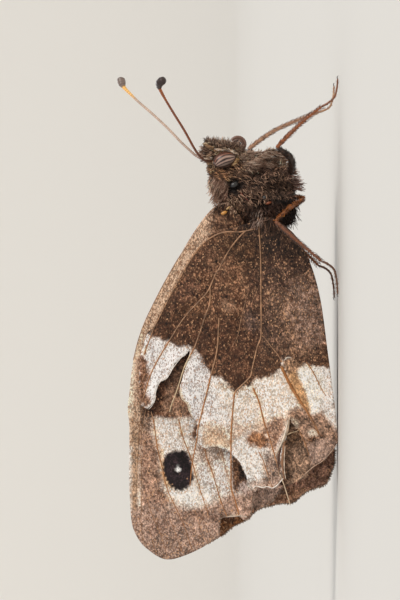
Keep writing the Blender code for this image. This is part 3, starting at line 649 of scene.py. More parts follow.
# %% Scale finish
SCALE_LENGTH = 0.12  # real scales are about 0.15 mm long and 0.09 mm wide
SCALE_WIDTH = 0.085
DARK_SCALE = 0.46  # share of the light of the scales round it
BROWNER = (1.3, 0.95, 0.74)  # red, green and blue of a dark scale against those round it
PALE_SCALE = 1.9
CLUMP = 0.21  # scales rub off in little clumps
WHITEST = "#F4F2F0"
TAN_SCALE = "#CA9A74"


def maths(tree, operation, first, second=0.0, third=0.0):
    return add(tree, "ShaderNodeMath", {0: first, 1: second, 2: third},
               operation=operation).outputs[0]


def position(tree):
    return add(tree, "ShaderNodeTexCoord").outputs["Object"]


def kept(tree, name, output="Color"):
    """What the points of a mesh keep under a name."""
    return add(tree, "ShaderNodeAttribute", attribute_name=name).outputs[output]


def clouds(tree, place, size, detail=2.0, roughness=0.5):
    """Noise with lumps of one size in millimetres."""
    return add(tree, "ShaderNodeTexNoise", {
        "Vector": place, "Scale": 1 / (size * MM), "Detail": detail,
        "Roughness": roughness}).outputs["Fac"]


def vectors(tree, operation, first, second):
    return add(tree, "ShaderNodeVectorMath", {0: first, 1: second}, operation=operation).outputs[0]


def scaled(tree, colour, share):
    return add(tree, "ShaderNodeVectorMath", {0: colour, "Scale": share}, operation="SCALE").outputs[0]


def no_whiter(tree, colour):
    """A colour held below that of the palest hair or scale."""
    return vectors(tree, "MINIMUM", colour, linear(WHITEST))


def bumped(tree, shader, height, strength, distance):
    """Lets a height shade the surface as bumps; the distance is in millimetres."""
    bump = add(tree, "ShaderNodeBump", {"Height": height, "Strength": strength,
                                        "Distance": distance * MM})
    tree.links.new(bump.outputs["Normal"], shader.inputs["Normal"])


def mixed(tree, share, first, second):
    """Two colours blended by a share."""
    return add(tree, "ShaderNodeMix", {0: share, 6: first, 7: second}, data_type="RGBA").outputs[2]


def uneven(tree, value, darkness, in_light, in_dark):
    """A factor round 1 from a value round a half: it swings wider where the wing is dark."""
    swing = maths(tree, "MULTIPLY_ADD", darkness, in_dark - in_light, in_light)
    return maths(tree, "MULTIPLY_ADD", maths(tree, "SUBTRACT", value, 0.5), swing, 1.0)


def wing_scales():
    """Wing scales: matt, powdery, each with its own colour from the mix of its place."""
    material, tree, shader = new_material("powdery wing scales", {
        "Roughness": 0.72, "Specular IOR Level": 0.25, "Sheen Weight": 0.06})
    place, tone = position(tree), kept(tree, "tone")
    shares = add(tree, "ShaderNodeSeparateXYZ", {0: kept(tree, "mix", "Vector")})
    cells_at = add(tree, "ShaderNodeMapping", {"Vector": place, "Scale": (
        1 / (SCALE_LENGTH * MM), 1 / (4 * SCALE_LENGTH * MM), 1 / (SCALE_WIDTH * MM))})
    cells = add(tree, "ShaderNodeTexVoronoi", {"Vector": cells_at.outputs[0], "Scale": 1.0})
    draw = add(tree, "ShaderNodeSeparateXYZ", {0: cells.outputs["Color"]})
    # Scales of one kind gather: a slow noise raises and lowers the shares
    patchy = maths(tree, "MULTIPLY_ADD", clouds(tree, place, 0.55, 3.0, 0.6), 3.6, -0.8)
    dark_share = maths(tree, "MULTIPLY", shares.outputs["X"], patchy)
    turned = maths(tree, "SUBTRACT", 2.0, patchy)
    pale_share = maths(tree, "MULTIPLY", shares.outputs["Y"], turned)
    crowded = maths(tree, "MULTIPLY_ADD", clouds(tree, place, 0.7, 4.0, 0.7), 6.0, -2.0)
    is_tan = maths(tree, "LESS_THAN", draw.outputs["Y"],
                   maths(tree, "MULTIPLY", shares.outputs["Z"], crowded))
    is_dark = maths(tree, "LESS_THAN", draw.outputs["X"], dark_share)
    is_pale = maths(tree, "GREATER_THAN", draw.outputs["X"],
                    maths(tree, "SUBTRACT", 1.0, pale_share))
    value = add(tree, "ShaderNodeVectorMath", {0: tone, 1: (0.33, 0.33, 0.33)},
                operation="DOT_PRODUCT").outputs["Value"]
    darkness = add(tree, "ShaderNodeMapRange", {"Value": value, "From Min": 0.1, "From Max": 0.4,
                                                "To Min": 1.0, "To Max": 0.0}).outputs[0]
    shade = uneven(tree, draw.outputs["Z"], darkness, 0.75, 1.4)
    clumps = add(tree, "ShaderNodeTexVoronoi", {"Vector": place, "Scale": 1 / (CLUMP * MM)})
    clump = add(tree, "ShaderNodeSeparateXYZ", {0: clumps.outputs["Color"]}).outputs["X"]
    for draw_of, in_light, in_dark in ((clouds(tree, place, 1.3, 5.0, 0.65), 1.3, 3.6),
                                       (clouds(tree, place, 0.5, 3.0, 0.65), 0.8, 4.2),
                                       (clump, 0.24, 1.25)):
        shade = maths(tree, "MULTIPLY", shade, uneven(tree, draw_of, darkness, in_light, in_dark))
    colour = scaled(tree, tone, shade)
    darker = scaled(tree, vectors(tree, "MULTIPLY", tone, BROWNER), DARK_SCALE)
    paler = no_whiter(tree, scaled(tree, tone, PALE_SCALE))
    tan_level = maths(tree, "MULTIPLY_ADD", maths(tree, "POWER", draw.outputs["Z"], 2.5), 0.95, 0.1)
    colour = mixed(tree, maths(tree, "MULTIPLY", is_tan, tan_level), colour, with_alpha(TAN_SCALE))
    colour = mixed(tree, maths(tree, "MULTIPLY", is_dark, 0.8), colour, darker)
    colour = mixed(tree, maths(tree, "MULTIPLY", is_pale, 0.85), colour, paler)
    tree.links.new(colour, shader.inputs["Base Color"])
    rise = maths(tree, "MULTIPLY_ADD", draw.outputs["Y"], 0.5,
                 maths(tree, "MULTIPLY", cells.outputs["Distance"], -0.8))
    bumped(tree, shader, rise, 0.45, 0.03)
    return material


SCALES = wing_scales()
print("made", SCALES.name)

# %% [markdown]
# ## The wing membranes
# Each wing is a closed shell a tenth of a millimetre thick. A flat web of small triangles fills the
# outline (a constrained Delaunay triangulation keeps its rim exact), and every point is then set
# sideways: out over the thorax and abdomen, bowed between the veins, and curled where the edge is
# torn. The colour is worked out from the patches and kept at the points as attributes.

# %% Shape of the wings
THORAX_CENTRE = (10.5, 7.5)
THORAX_REACH = (3.2, 2.6)
THORAX_TILT = math.radians(35)
FOREWING_OUT = 0.4
HINDWING_OUT = 1.2
WAIST_SPREAD = 1.8
ABDOMEN_SPREAD = 0.75
ABDOMEN_TOP = 7.6
ABDOMEN_EASE = 3.2
MEMBRANE_THICKNESS = 0.09
MEMBRANE_STEP = 0.21


def wing_spread(places, layer):
    """How far out from the body's own plane a wing's middle surface stands."""
    dx = places[:, 0] - THORAX_CENTRE[0]
    dz = places[:, 1] - THORAX_CENTRE[1]
    along = (dx * math.cos(THORAX_TILT) + dz * math.sin(THORAX_TILT)) / THORAX_REACH[0]
    across = (dz * math.cos(THORAX_TILT) - dx * math.sin(THORAX_TILT)) / THORAX_REACH[1]
    bulge = WAIST_SPREAD * np.exp(-(along ** 2 + across ** 2) / 2)
    if layer == "forewing":
        return FOREWING_OUT + bulge
    return HINDWING_OUT + bulge + ABDOMEN_SPREAD * smooth((ABDOMEN_TOP - places[:, 1]) / ABDOMEN_EASE)


def nearest_vein(places, veins):
    return np.min([distance_to(places, rounded(line, 4)) for line in veins.values()], axis=0)


def lattice(outline, step):
    """Places spaced in rows inside an outline, none too close to its rim."""
    low = outline.min(axis=0)
    high = outline.max(axis=0)
    rows = np.arange(low[1], high[1], step * math.sqrt(3) / 2)
    places = []
    for index, z in enumerate(rows):
        xs = np.arange(low[0] + 0.5 * step * (index % 2), high[0], step)
        places.append(np.stack([xs, np.full(len(xs), z)], axis=1))
    places = np.vstack(places)
    return places[depth_in(places, outline) > 0.55 * step]


def frayed(line, step, amount, seed):
    """A broken edge with fine teeth between its given points."""
    line = evenly(np.array(line), step)
    wobble = np.stack([wander(line, 0.28, seed), wander(line, 0.28, seed + 1)], axis=1)
    wobble += 0.6 * np.stack([wander(line, 0.11, seed + 2), wander(line, 0.11, seed + 3)], axis=1)
    return line + amount * wobble


def scalloped(line):
    """A wavy margin, pulled in between the ends of the veins."""
    line = evenly(rounded(line), 0.2)
    along = unit(np.gradient(line, axis=0))
    inward = np.stack([-along[:, 1], along[:, 0]], axis=1)
    wave = 0.5 - 0.5 * np.cos(2 * math.pi * np.arange(len(line)) * 0.2 / (2 * SCALLOP_WIDTH))
    return line + inward * (SCALLOP_DEPTH * wave)[:, None]


def wing_outline(front, margin, inner):
    """One closed outline from a smooth front edge, a ready margin and a smooth inner edge."""
    return np.vstack([evenly(rounded(front), 0.25), margin, evenly(rounded(inner), 0.25)])


LIGHTNESS = np.array([0.3, 0.59, 0.11])  # how much red, green and blue light the eye
STAIN = "#B5854F"
STAIN_WIDTH = 0.22


def stained(places, colour, veins):
    """The pale parts of a wing take a tan stain close to the veins."""
    gap = nearest_vein(places, veins)
    pale = smooth((colour @ LIGHTNESS - 0.2) / 0.3)
    share = 0.6 * np.exp(-(gap / STAIN_WIDTH) ** 2) * pale * (0.55 + 0.45 * wander(places, 0.4, 12))
    return blended(colour, linear(STAIN), share.clip(0, 1)[:, None])


def membrane(name, outline, ground, patches, upper_ground, upper_patches, side, depth):
    """A thin closed shell in the outline, its outer face with the underside's scales."""
    inner_places = lattice(outline, MEMBRANE_STEP)
    flat = [Vector(p) for p in np.vstack([outline, inner_places])]
    loop = [list(range(len(outline)))]
    points, _, triangles = delaunay_2d_cdt(flat, [], loop, 1, 1e-5)[:3]
    places = np.array([tuple(p) for p in points])
    triangles = np.array([t for t in triangles if len(t) == 3])
    out = depth(places)
    halves = []
    for way in (1, -1):
        halves.append(stood(places, side * (out + way * MEMBRANE_THICKNESS / 2)))
    count = len(places)
    outer = triangles if side < 0 else triangles[:, ::-1]
    inner = outer[:, ::-1] + count
    rim = {}
    for a, b, c in outer:
        for pair in ((a, b), (b, c), (c, a)):
            rim[pair] = True
    edge = [(a, b) for a, b in rim if (b, a) not in rim]
    wall = [(b, a, a + count, b + count) for a, b in edge]
    mesh = bpy.data.meshes.new(name)
    mesh.from_pydata(np.vstack(halves).tolist(), [], outer.tolist() + inner.tolist() + wall)
    under_colour, under_mix = painted(places, ground, patches)
    under_colour = stained(places, under_colour,
                           FOREWING_VEINS if ground is UNDER_FOREWING else HINDWING_VEINS)
    upper_colour, upper_mix = painted(places, upper_ground, upper_patches)
    keep(mesh, "tone", np.vstack([under_colour, upper_colour]))
    keep(mesh, "mix", np.vstack([under_mix, upper_mix]))
    mesh.shade_smooth()
    mesh.materials.append(SCALES)
    return mesh


def keep(mesh, name, values):
    """Keeps a vector or a number at each point of a mesh."""
    kind = "FLOAT_VECTOR" if np.ndim(values) == 2 else "FLOAT"
    attribute = mesh.attributes.new(name, kind, "POINT")
    attribute.data.foreach_set("vector" if np.ndim(values) == 2 else "value",
                               np.asarray(values, np.float32).ravel())


def finished(name, mesh, replaces=()):
    """Brings a mesh from millimetres to its place in metres and fixes it to the frame."""
    mesh.transform(Matrix.Translation((0, BODY_Y * MM, 0)) @ Matrix.Scale(MM, 4))
    mesh.name = name
    piece = shown(name, mesh)
    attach(piece, "root")
    if replaces:
        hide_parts(*replaces)
    mesh.calc_loop_triangles()
    print(name, len(mesh.loop_triangles), "triangles")
    return piece


# %% The four wings
CURL_LINE = traced("289,417 287.6,430 285,441 282.6,453 283,466 284,476")
HOLE_LINE = traced("148,409 155,399 157,387 167,378.4 175,364 187.5,351.6")
TORN_LINE = traced(
    "197.4,426 196.6,441 206,448.4 231,453 240,463 247,478 253,488.6 272,488 284,476")


def hindwing_depth(worn):
    def depth(places):
        out = wing_spread(places, "hindwing")
        near_vein = nearest_vein(places, HINDWING_VEINS)
        out = out + 0.10 * smooth(near_vein / 0.9) + 0.05 * wander(places, 1.6, 5)
        out = out + 0.018 * wander(places, 0.45, 6)
        if worn:
            for line, lift, reach in ((CURL_LINE, 0.42, 0.55), (HOLE_LINE, 0.22, 0.5),
                                      (TORN_LINE, 0.10, 0.4)):
                gap = distance_to(places, rounded(line))
                out = out + lift * np.exp(-(gap / reach) ** 2)
        return out
    return depth


def forewing_depth(places):
    out = wing_spread(places, "forewing")
    near_vein = nearest_vein(places, FOREWING_VEINS)
    return out + 0.08 * smooth(near_vein / 0.8) + 0.04 * wander(places, 1.5, 8)


def lobe_depth(places):
    ripple = np.sin(2 * math.pi * (places[:, 0] * 0.8 + places[:, 1] * 0.6) / 1.1)
    return wing_spread(places, "hindwing") - 0.28 + 0.05 * ripple + 0.05 * wander(places, 1.2, 9)


worn_forewing = wing_outline(FOREWING_FRONT, frayed(FOREWING_TORN, 0.12, 0.05, 21), FOREWING_INNER)
worn_hindwing = wing_outline(HINDWING_FRONT, frayed(HINDWING_TORN, 0.12, 0.05, 25), HINDWING_INNER)
whole_forewing = wing_outline(FOREWING_FRONT, scalloped(FOREWING_MARGIN), FOREWING_INNER)
whole_hindwing = wing_outline(HINDWING_FRONT, scalloped(HINDWING_MARGIN), HINDWING_INNER)
for corner in (worn_hindwing, whole_hindwing):
    corner[:, 1] = np.maximum(corner[:, 1], 0.02)
WINGS = (
    ("forewing_right", worn_forewing, UNDER_FOREWING, FOREWING_PATCHES, -1, forewing_depth),
    ("forewing_left", whole_forewing, UNDER_FOREWING, FOREWING_PATCHES, 1, forewing_depth),
    ("hindwing_right", worn_hindwing, UNDER_HINDWING, HINDWING_PATCHES, -1, hindwing_depth(True)),
    ("hindwing_left", whole_hindwing, UNDER_HINDWING, HINDWING_PATCHES, 1, hindwing_depth(False)),
)
for wing_name, outline, ground, patches, side, depth in WINGS:
    mesh = membrane(wing_name, outline, ground, patches, UPPER_WING, UPPER_PATCHES, side, depth)
    finished(wing_name + "_membrane", mesh, [wing_name])
lobe = membrane("lobe", frayed(LOBE, 0.15, 0.03, 31), UNDER_LOBE, LOBE_PATCHES, UPPER_WING,
                UPPER_PATCHES, SIDES["right"], lobe_depth)
finished("hindwing_right_lobe", lobe)

# %% [markdown]
# ## Tubes along lines
# Veins, feelers, legs, bristles and the tongue are all tubes that follow a line. One tree of Geometry
# Nodes makes them: the lines come in as loose edges with a radius at each point, turn into curves,
# and get a round section. The colour kept at each point rides along.

# %% Geometry Nodes: tubes
def new_tree(name, inputs):
    """An empty tree of Geometry Nodes with named inputs, given as (name, socket type)."""
    tree = bpy.data.node_groups.new(name, "GeometryNodeTree")
    for label, kind in [("Geometry", "NodeSocketGeometry")] + inputs:
        tree.interface.new_socket(label, in_out="INPUT", socket_type=kind)
    tree.interface.new_socket("Geometry", in_out="OUTPUT", socket_type="NodeSocketGeometry")
    return tree


def final_mesh(holder, every_layer=True):
    """The plain mesh of an object with its modifiers applied; the object itself goes."""
    graph = bpy.context.evaluated_depsgraph_get()
    made = bpy.data.meshes.new_from_object(holder.evaluated_get(graph),
                                           preserve_all_data_layers=every_layer, depsgraph=graph)
    bpy.data.objects.remove(holder)
    return made


def grown(name, mesh, tree, values):
    """The plain mesh that a tree of Geometry Nodes makes from another mesh."""
    holder = shown(name, mesh)
    modifier = holder.modifiers.new(tree.name, "NODES")
    modifier.node_group = tree
    for item in tree.interface.items_tree:
        if item.in_out == "INPUT" and item.name in values:
            modifier[item.identifier] = values[item.name]
    return final_mesh(holder)


def attribute_of(tree, name, kind="FLOAT"):
    return add(tree, "GeometryNodeInputNamedAttribute", {"Name": name},
               data_type=kind).outputs["Attribute"]


def tube_tree():
    tree = new_tree("Tubes along lines", [("Sides", "NodeSocketInt"),
                                          ("Finish", "NodeSocketMaterial")])
    given = add(tree, "NodeGroupInput").outputs
    curves = add(tree, "GeometryNodeMeshToCurve", {"Mesh": given["Geometry"]}).outputs[0]
    ring = add(tree, "GeometryNodeCurvePrimitiveCircle", {
        "Resolution": given["Sides"], "Radius": 1.0}, mode="RADIUS").outputs["Curve"]
    tube = add(tree, "GeometryNodeCurveToMesh", {
        "Curve": curves, "Profile Curve": ring, "Scale": attribute_of(tree, "radius"),
        "Fill Caps": True}).outputs[0]
    smoothed = add(tree, "GeometryNodeSetShadeSmooth", {"Geometry": tube}).outputs[0]
    real = add(tree, "GeometryNodeRealizeInstances", {"Geometry": smoothed}).outputs[0]
    painted_tube = add(tree, "GeometryNodeSetMaterial", {
        "Geometry": real, "Material": given["Finish"]}).outputs[0]
    add(tree, "NodeGroupOutput", {"Geometry": painted_tube})
    return tree


TUBES = tube_tree()
Strand = namedtuple("Strand", "line radius tone")
# line is an array of points, radius and tone are one value or colour for each of them


def tubes(name, strands, material, sides=6, marks=None):
    """One mesh of tubes along some strands; marks holds more values to keep at each point."""
    verts = np.vstack([strand.line for strand in strands])
    edges = []
    start = 0
    for strand in strands:
        count = len(strand.line)
        edges += [(start + i, start + i + 1) for i in range(count - 1)]
        start += count
    mesh = bpy.data.meshes.new(name)
    mesh.from_pydata(verts.tolist(), edges, [])
    keep(mesh, "radius", np.concatenate([np.broadcast_to(s.radius, len(s.line)) for s in strands]))
    keep(mesh, "tone", np.vstack([np.broadcast_to(s.tone, (len(s.line), 3)) for s in strands]))
    for label, values in (marks or {}).items():
        keep(mesh, label, values)
    made = grown(name, mesh, TUBES, {"Sides": sides, "Finish": material})
    bpy.data.meshes.remove(mesh)
    return made


def tube_piece(name, strands, material, sides, replaces=()):
    return finished(name, tubes(name, strands, material, sides), replaces)


def tapered(count, root, tip, power=1.0):
    """A size at each of some points, from root to tip."""
    return blended(root, tip, np.linspace(0, 1, count) ** power)


def shaded(count, root, tip, power=1.0):
    """A colour at each of some points, from root to tip."""
    return blended(linear(root), linear(tip), (np.linspace(0, 1, count) ** power)[:, None])


# %% Horn finish
def horn(name, roughness, grain, coat):
    """Insect horn (chitin): glossy brown, darker in patches, with a fine lengthwise grain."""
    material, tree, shader = new_material(name, {
        "Roughness": roughness, "IOR": 1.55, "Coat Weight": coat, "Coat Roughness": 0.25})
    place = position(tree)
    shade = maths(tree, "MULTIPLY_ADD", clouds(tree, place, 0.35, 4.0), 1.1, 0.45)
    tree.links.new(scaled(tree, kept(tree, "tone"), shade), shader.inputs["Base Color"])
    bumped(tree, shader, clouds(tree, place, grain), 0.35, 0.02)
    return material


VEIN_HORN = horn("worn vein horn", 0.5, 0.08, 0.1)
GLOSSY_HORN = horn("glossy brown horn", 0.35, 0.06, 0.4)

# %% Veins on the wings
VEIN_SIZES = {
    "anal": (0.15, 0.07), "costa": (0.05, 0.05), "radius": (0.045, 0.03),
    "radius_2": (0.04, 0.03), "cubitus": (0.07, 0.062), "sector": (0.062, 0.045),
    "subcosta": (0.06, 0.045), "anal_root": (0.03, 0.05), "anal_2": (0.05, 0.03),
    "lower_1": (0.04, 0.03), "lower_2": (0.035, 0.025), "lower_3": (0.035, 0.025),
    "lower_4": (0.035, 0.025), "media_3": (0.03, 0.03), "cubitus_3": (0.04, 0.03)}
VEIN_SIZE = (0.075, 0.045)
VEIN_WIDTHS = {"forewing": 0.6, "hindwing": 0.95}
VEIN_ON_DARK = "#9E7656"
VEIN_ON_PALE = "#A5682F"
VEIN_TONES = {"costa": "#B29684", "radius": "#86603E", "radius_2": "#86603E"}
BARE_ENDS = {
    # vein: colour where its skin is torn away, and the x from which it is bare
    ("hindwing_right", "media_1"): ("#D6BC98", -3.2),
    ("hindwing_right", "cubitus_2"): ("#D2B899", -12.9),
}


def vein_strands(wing_name, veins, ground, patches, side, depth):
    strands = []
    chance = np.random.default_rng(len(patches))
    for name, guide in veins.items():
        flat = evenly(rounded(guide), 0.22)
        root, tip = VEIN_SIZES.get(name, VEIN_SIZE)
        radius = tapered(len(flat), root, tip) * VEIN_WIDTHS[wing_name.split("_")[0]]
        out = depth(flat) + MEMBRANE_THICKNESS / 2 + 0.25 * radius
        line = stood(flat, side * out)
        below, _ = painted(flat, ground, patches)
        pale = smooth((below @ LIGHTNESS - 0.09) / 0.3)[:, None]
        tone = blended(linear(VEIN_ON_DARK), linear(VEIN_ON_PALE), pale)
        if name in VEIN_TONES:
            tone = np.tile(linear(VEIN_TONES[name]), (len(flat), 1))
        bare, start = BARE_ENDS.get((wing_name, name), (VEIN_ON_PALE, -99))
        tone[flat[:, 0] < start] = linear(bare)
        beads = 0.2 * wander(flat, 0.5, 4) + (1 - pale[:, 0]) * chance.uniform(-0.5, 0.5, len(flat))
        strands.append(Strand(line, radius, tone * (1 + beads).clip(0.2, 2)[:, None]))
    return strands


for wing_name, outline, ground, patches, side, depth in WINGS:
    veins = FOREWING_VEINS if wing_name.startswith("fore") else HINDWING_VEINS
    if wing_name == "hindwing_left":
        veins = {name: guide for name, guide in veins.items() if name != "anal_3"}
    strands = vein_strands(wing_name, veins, ground, patches, side, depth)
    tube_piece(wing_name + "_veins", strands, VEIN_HORN, 6)

# %% Fringes of the margins
FRINGE_STEP = 0.075
FRINGES = (
    # margin, part of it in x, wing depth, side, length, darkest and palest colour
    (frayed(FOREWING_TORN, 0.12, 0.02, 3), (-21, -12), forewing_depth, -1, 0.1, "#6A5244", "#C2A996"),
    (scalloped(FOREWING_MARGIN), (-21, -9), forewing_depth, 1, 0.16, "#5E483A", "#B9A390"),
    (scalloped(HINDWING_MARGIN), (-21, -8), hindwing_depth(False), 1, 0.18, "#5A4130", "#B59C84"),
)


def fringe(margin, part, depth, side, length, dark, pale):
    """Narrow scales side by side along a margin, pointing out from the wing."""
    line = evenly(np.array(margin), FRINGE_STEP)
    along = unit(np.gradient(line, axis=0))
    outward = np.stack([along[:, 1], -along[:, 0]], axis=1)
    out = depth(line)
    chance = np.random.default_rng(len(line))
    made = []
    for place, way, lean, middle in zip(line, outward, along, out):
        if not part[0] < place[0] < part[1]:
            continue
        reach = length * chance.uniform(0.4, 1.25) * (way + lean * chance.uniform(-0.35, 0.35))
        flat = place + reach * np.array([-0.25, 0.5, 1.0])[:, None]
        line_of_scale = stood(flat, side * (middle + chance.normal(0, 0.015, 3)))
        tone = blended(linear(dark), linear(pale), chance.random() ** 1.5)
        made.append(Strand(line_of_scale, np.array([0.04, 0.04, 0.015]), tone))
    return made


strands = [strand for given in FRINGES for strand in fringe(*given)]
tube_piece("fringes", strands, VEIN_HORN, 4)

# %% Torn rims and rolled edges
RIMS = (
    # line, radius at its start, middle and end, colour, wing whose depth it has, lift over it
    ("146,406.5 149,409 154.6,401 156,391 160,382 167,378 173,368 180,359 187,352",
     (0.02, 0.04, 0.02), "#E2D8CE", "worn", 0.05),
    ("179.6,390 181.4,398 187,403.6 189,410 193,418", (0.03, 0.05, 0.03), "#DAC8AE", "worn", 0.05),
    ("253,488.6 256,486 262,487.4 268,486.5 272,488 277,485 283,478",
     (0.04, 0.05, 0.04), "#EADFD4", "worn", 0.04),
    ("283.5,439 286,435 291,432.5 297,431 299.5,428", (0.04, 0.06, 0.04), "#CBB08F", "worn", 0.08),
    ("300,479 307,472 314,466 322,461 330,453 336,445",
     (0.03, 0.04, 0.03), "#B0917A", "worn", 0.04),
    ("284,360.5 287,357.6 291,357.6", (0.03, 0.06, 0.03), "#D9CDBF", "worn", 0.06),
    # the rolled edge: the first roll is painted paler as its lit side, the thin pale tubes on the
    # crests of both rolls are painted highlights, and the dark tube between the rolls is painted shadow
    ("289.5,415.5 287.5,427 284,437 279.5,447 275.5,456",
     (0.05, 0.17, 0.04), "#C9B098", "worn", 0.16),
    ("287.5,420 285.5,430 282,441 278,450", (0.03, 0.05, 0.03), "#EEE2D2", "worn", 0.34),
    ("284,440 283,452 282,464 283.5,474 284,479", (0.10, 0.13, 0.05), "#8E6444", "worn", 0.05),
    ("281,446 279,456 278.5,466 280,474", (0.08, 0.12, 0.05), "#4E2C18", "worn", 0.04),
    ("284.8,446 284,458 284.2,470 285.4,478", (0.03, 0.04, 0.03), "#D9C4AE", "worn", 0.2),
    ("226,517.4 233,517 241,516.4 247,517.5", (0.03, 0.04, 0.03), "#D6C4B2", "forewing", 0.05),
)


def rim(line, radii, colour, layer, lift):
    flat = evenly(rounded(traced(line)), 0.12)
    radius = np.interp(np.linspace(0, 1, len(flat)), (0, 0.5, 1), radii)
    depth = hindwing_depth(True) if layer == "worn" else forewing_depth
    out = depth(flat) + lift + 0.03 * wander(flat, 0.3, 14)
    ragged = radius * (1 + 0.35 * wander(flat, 0.25, 15))
    tone = linear(colour) * (1 + 0.25 * wander(flat, 0.3, 16))[:, None]
    return Strand(stood(flat, -out), ragged, tone)


tube_piece("torn_rims", [rim(*given) for given in RIMS], VEIN_HORN, 7)

# %% [markdown]
# ## Body
# Under its hair the body of a butterfly is a smooth horny shell: a round head, a deep thorax that
# holds the wing muscles, and a ringed abdomen. One skin replaces all the flesh of the CAD, without
# a seam, and lies inside it by the depth of the coat. Ellipsoids and tubes overlap, and a voxel
# remesh melts them into one closed surface, which an unwrap of its own then lays flat.

# %% Flesh under the coat
BALLS = (
    # centre, radii, degrees that the front is tipped up
    ((10.5, 0.0, 7.5), (3.0, 1.4, 2.4), 35),
    ((11.0, 0.0, 5.5), (1.8, 0.95, 1.75), 0),
    ((12.95, 0.0, 6.1), (0.65, 0.75, 1.2), 0),
    ((9.3, 0.0, 5.0), (1.0, 0.7, 1.0), 0),
    ((11.6, 0.0, 9.5), (1.35, 1.15, 1.35), 0),
    ((12.5, 0.0, 9.3), (1.0, 0.75, 1.05), 0),
    ((13.2, 0.0, 9.85), (0.85, 0.95, 1.15), 29),
    ((14.0, 0.0, 10.15), (0.55, 0.6, 1.0), 0),
    ((13.6, 0.0, 8.15), (0.55, 0.5, 0.75), 0),
    ((13.3, 0.0, 8.75), (0.6, 0.75, 0.6), 0),
)
ABDOMEN_LINE = [(8.8, 0.0, 6.4), (7.3, 0.0, 5.6), (2.5, 0.0, 3.7), (-1.5, 0.0, 2.9), (-4.35, 0.0, 2.55)]
ABDOMEN_RADII = [0.8, 0.92, 1.05, 0.8, 0.3]
RING_LENGTH = 1.35
HIPS = (((11.6, 0.55, 6.3), (12.35, 1.2, 4.2)), ((10.1, 0.55, 5.9), (10.1, 1.4, 3.9)),
        ((12.5, 0.5, 7.7), (13.5, 0.85, 6.5)))
HIP_ROOT_RADIUS = 0.78
HIP_TIP_RADIUS = 0.4
PALP = [(13.9, 0.45, 8.9), (14.5, 0.7, 9.05), (14.66, 0.8, 9.5), (14.76, 0.78, 10.05),
        (14.92, 0.7, 10.7), (15.2, 0.6, 11.35)]
PALP_RADII = [0.2, 0.24, 0.24, 0.2, 0.14, 0.05]
FORELEG = [(13.4, 0.8, 6.6), (14.1, 0.98, 5.9), (13.95, 1.0, 5.05), (13.45, 0.95, 4.8)]
FORELEG_RADII = [0.17, 0.17, 0.15, 0.08]
VOXEL = 0.1
SMOOTHING = 6


def space_line(points, spacing):
    """A smooth line through points in space, evenly spaced."""
    points = np.array(points, float)
    at = reach_of(points)
    guides, made = with_ends(points), []
    for step in np.linspace(0, at[-1], max(int(at[-1] / spacing), 2) + 1):
        i = min(np.searchsorted(at, step, side="right") - 1, len(points) - 2)
        t = (step - at[i]) / (at[i + 1] - at[i])
        made.append(between(*guides[i:i + 4], t))
    return np.array(made)


def along_line(line, points, values):
    """Values given at some points of a line, spread over all its points."""
    at, given = reach_of(line), reach_of(points)
    return np.interp(at / at[-1], given / given[-1], values)


def mirrored(points, side):
    return [(x, side * y, z) for x, y, z in points]


def flesh_strands():
    line = space_line(ABDOMEN_LINE, 0.08)
    radius = along_line(line, ABDOMEN_LINE, ABDOMEN_RADII)
    along = np.arange(len(line)) * 0.08 / RING_LENGTH
    radius = radius * (1 - 0.07 * np.exp(-((along % 1) / 0.1) ** 2))
    strands = [Strand(line, radius, (0, 0, 0))]
    for side in (-1, 1):
        for points, radii in ((PALP, PALP_RADII), (FORELEG, FORELEG_RADII)):
            line = space_line(mirrored(points, side), 0.08)
            strands.append(Strand(line, along_line(line, points, radii), (0, 0, 0)))
        for points in HIPS:
            line = space_line(mirrored(points, side), 0.1)
            strands.append(Strand(line, tapered(len(line), HIP_ROOT_RADIUS, HIP_TIP_RADIUS), (0, 0, 0)))
    return strands


def melted(name, mesh, voxel, smoothing):
    """One closed smooth surface round overlapping ones."""
    holder = shown(name, mesh)
    remesh = holder.modifiers.new("melt", "REMESH")
    remesh.mode = "VOXEL"
    remesh.voxel_size = voxel
    even = holder.modifiers.new("even", "SMOOTH")
    even.iterations = smoothing
    made = final_mesh(holder, every_layer=False)
    made.shade_smooth()
    return made


def unwrapped(mesh):
    """Lays the skin flat in a UV map of its own."""
    holder = shown("unwrap", mesh)
    mesh.uv_layers.new(name="OFBake")
    bpy.context.view_layer.objects.active = holder
    holder.select_set(True)
    bpy.ops.object.mode_set(mode="EDIT")
    bpy.ops.mesh.select_all(action="SELECT")
    bpy.ops.uv.smart_project(angle_limit=math.radians(66), island_margin=0.004)
    bpy.ops.object.mode_set(mode="OBJECT")
    bpy.data.objects.remove(holder)
    return mesh


def flesh():
    model = bmesh.new()
    for centre, radii, tilt in BALLS:
        place = (Matrix.Translation(centre) @ Matrix.Rotation(-math.radians(tilt), 4, "Y")
                 @ Matrix.Diagonal((*radii, 1.0)))
        bmesh.ops.create_icosphere(model, subdivisions=4, radius=1.0, matrix=place)
    strands = tubes("flesh strands", flesh_strands(), GLOSSY_HORN, 20)
    model.from_mesh(strands)
    joined = bpy.data.meshes.new("flesh")
    model.to_mesh(joined)
    model.free()
    return melted("skin", joined, VOXEL, SMOOTHING)


skin_mesh = unwrapped(flesh())
SKIN_TREE = BVHTree.FromPolygons([v.co for v in skin_mesh.vertices],
                                 [face.vertices[:] for face in skin_mesh.polygons])
laid = [corner.uv.copy() for corner in skin_mesh.uv_layers["OFBake"].data]
SKIN_UV = np.array([laid[face.loop_start] for face in skin_mesh.polygons])
skin_places = np.array([v.co for v in skin_mesh.vertices])
skin_normals = np.array([v.normal for v in skin_mesh.vertices])
print("skin", len(skin_mesh.vertices), "points")

# %% How the coat lies
Lie = namedtuple("Lie", "spot way length lift colour cover")
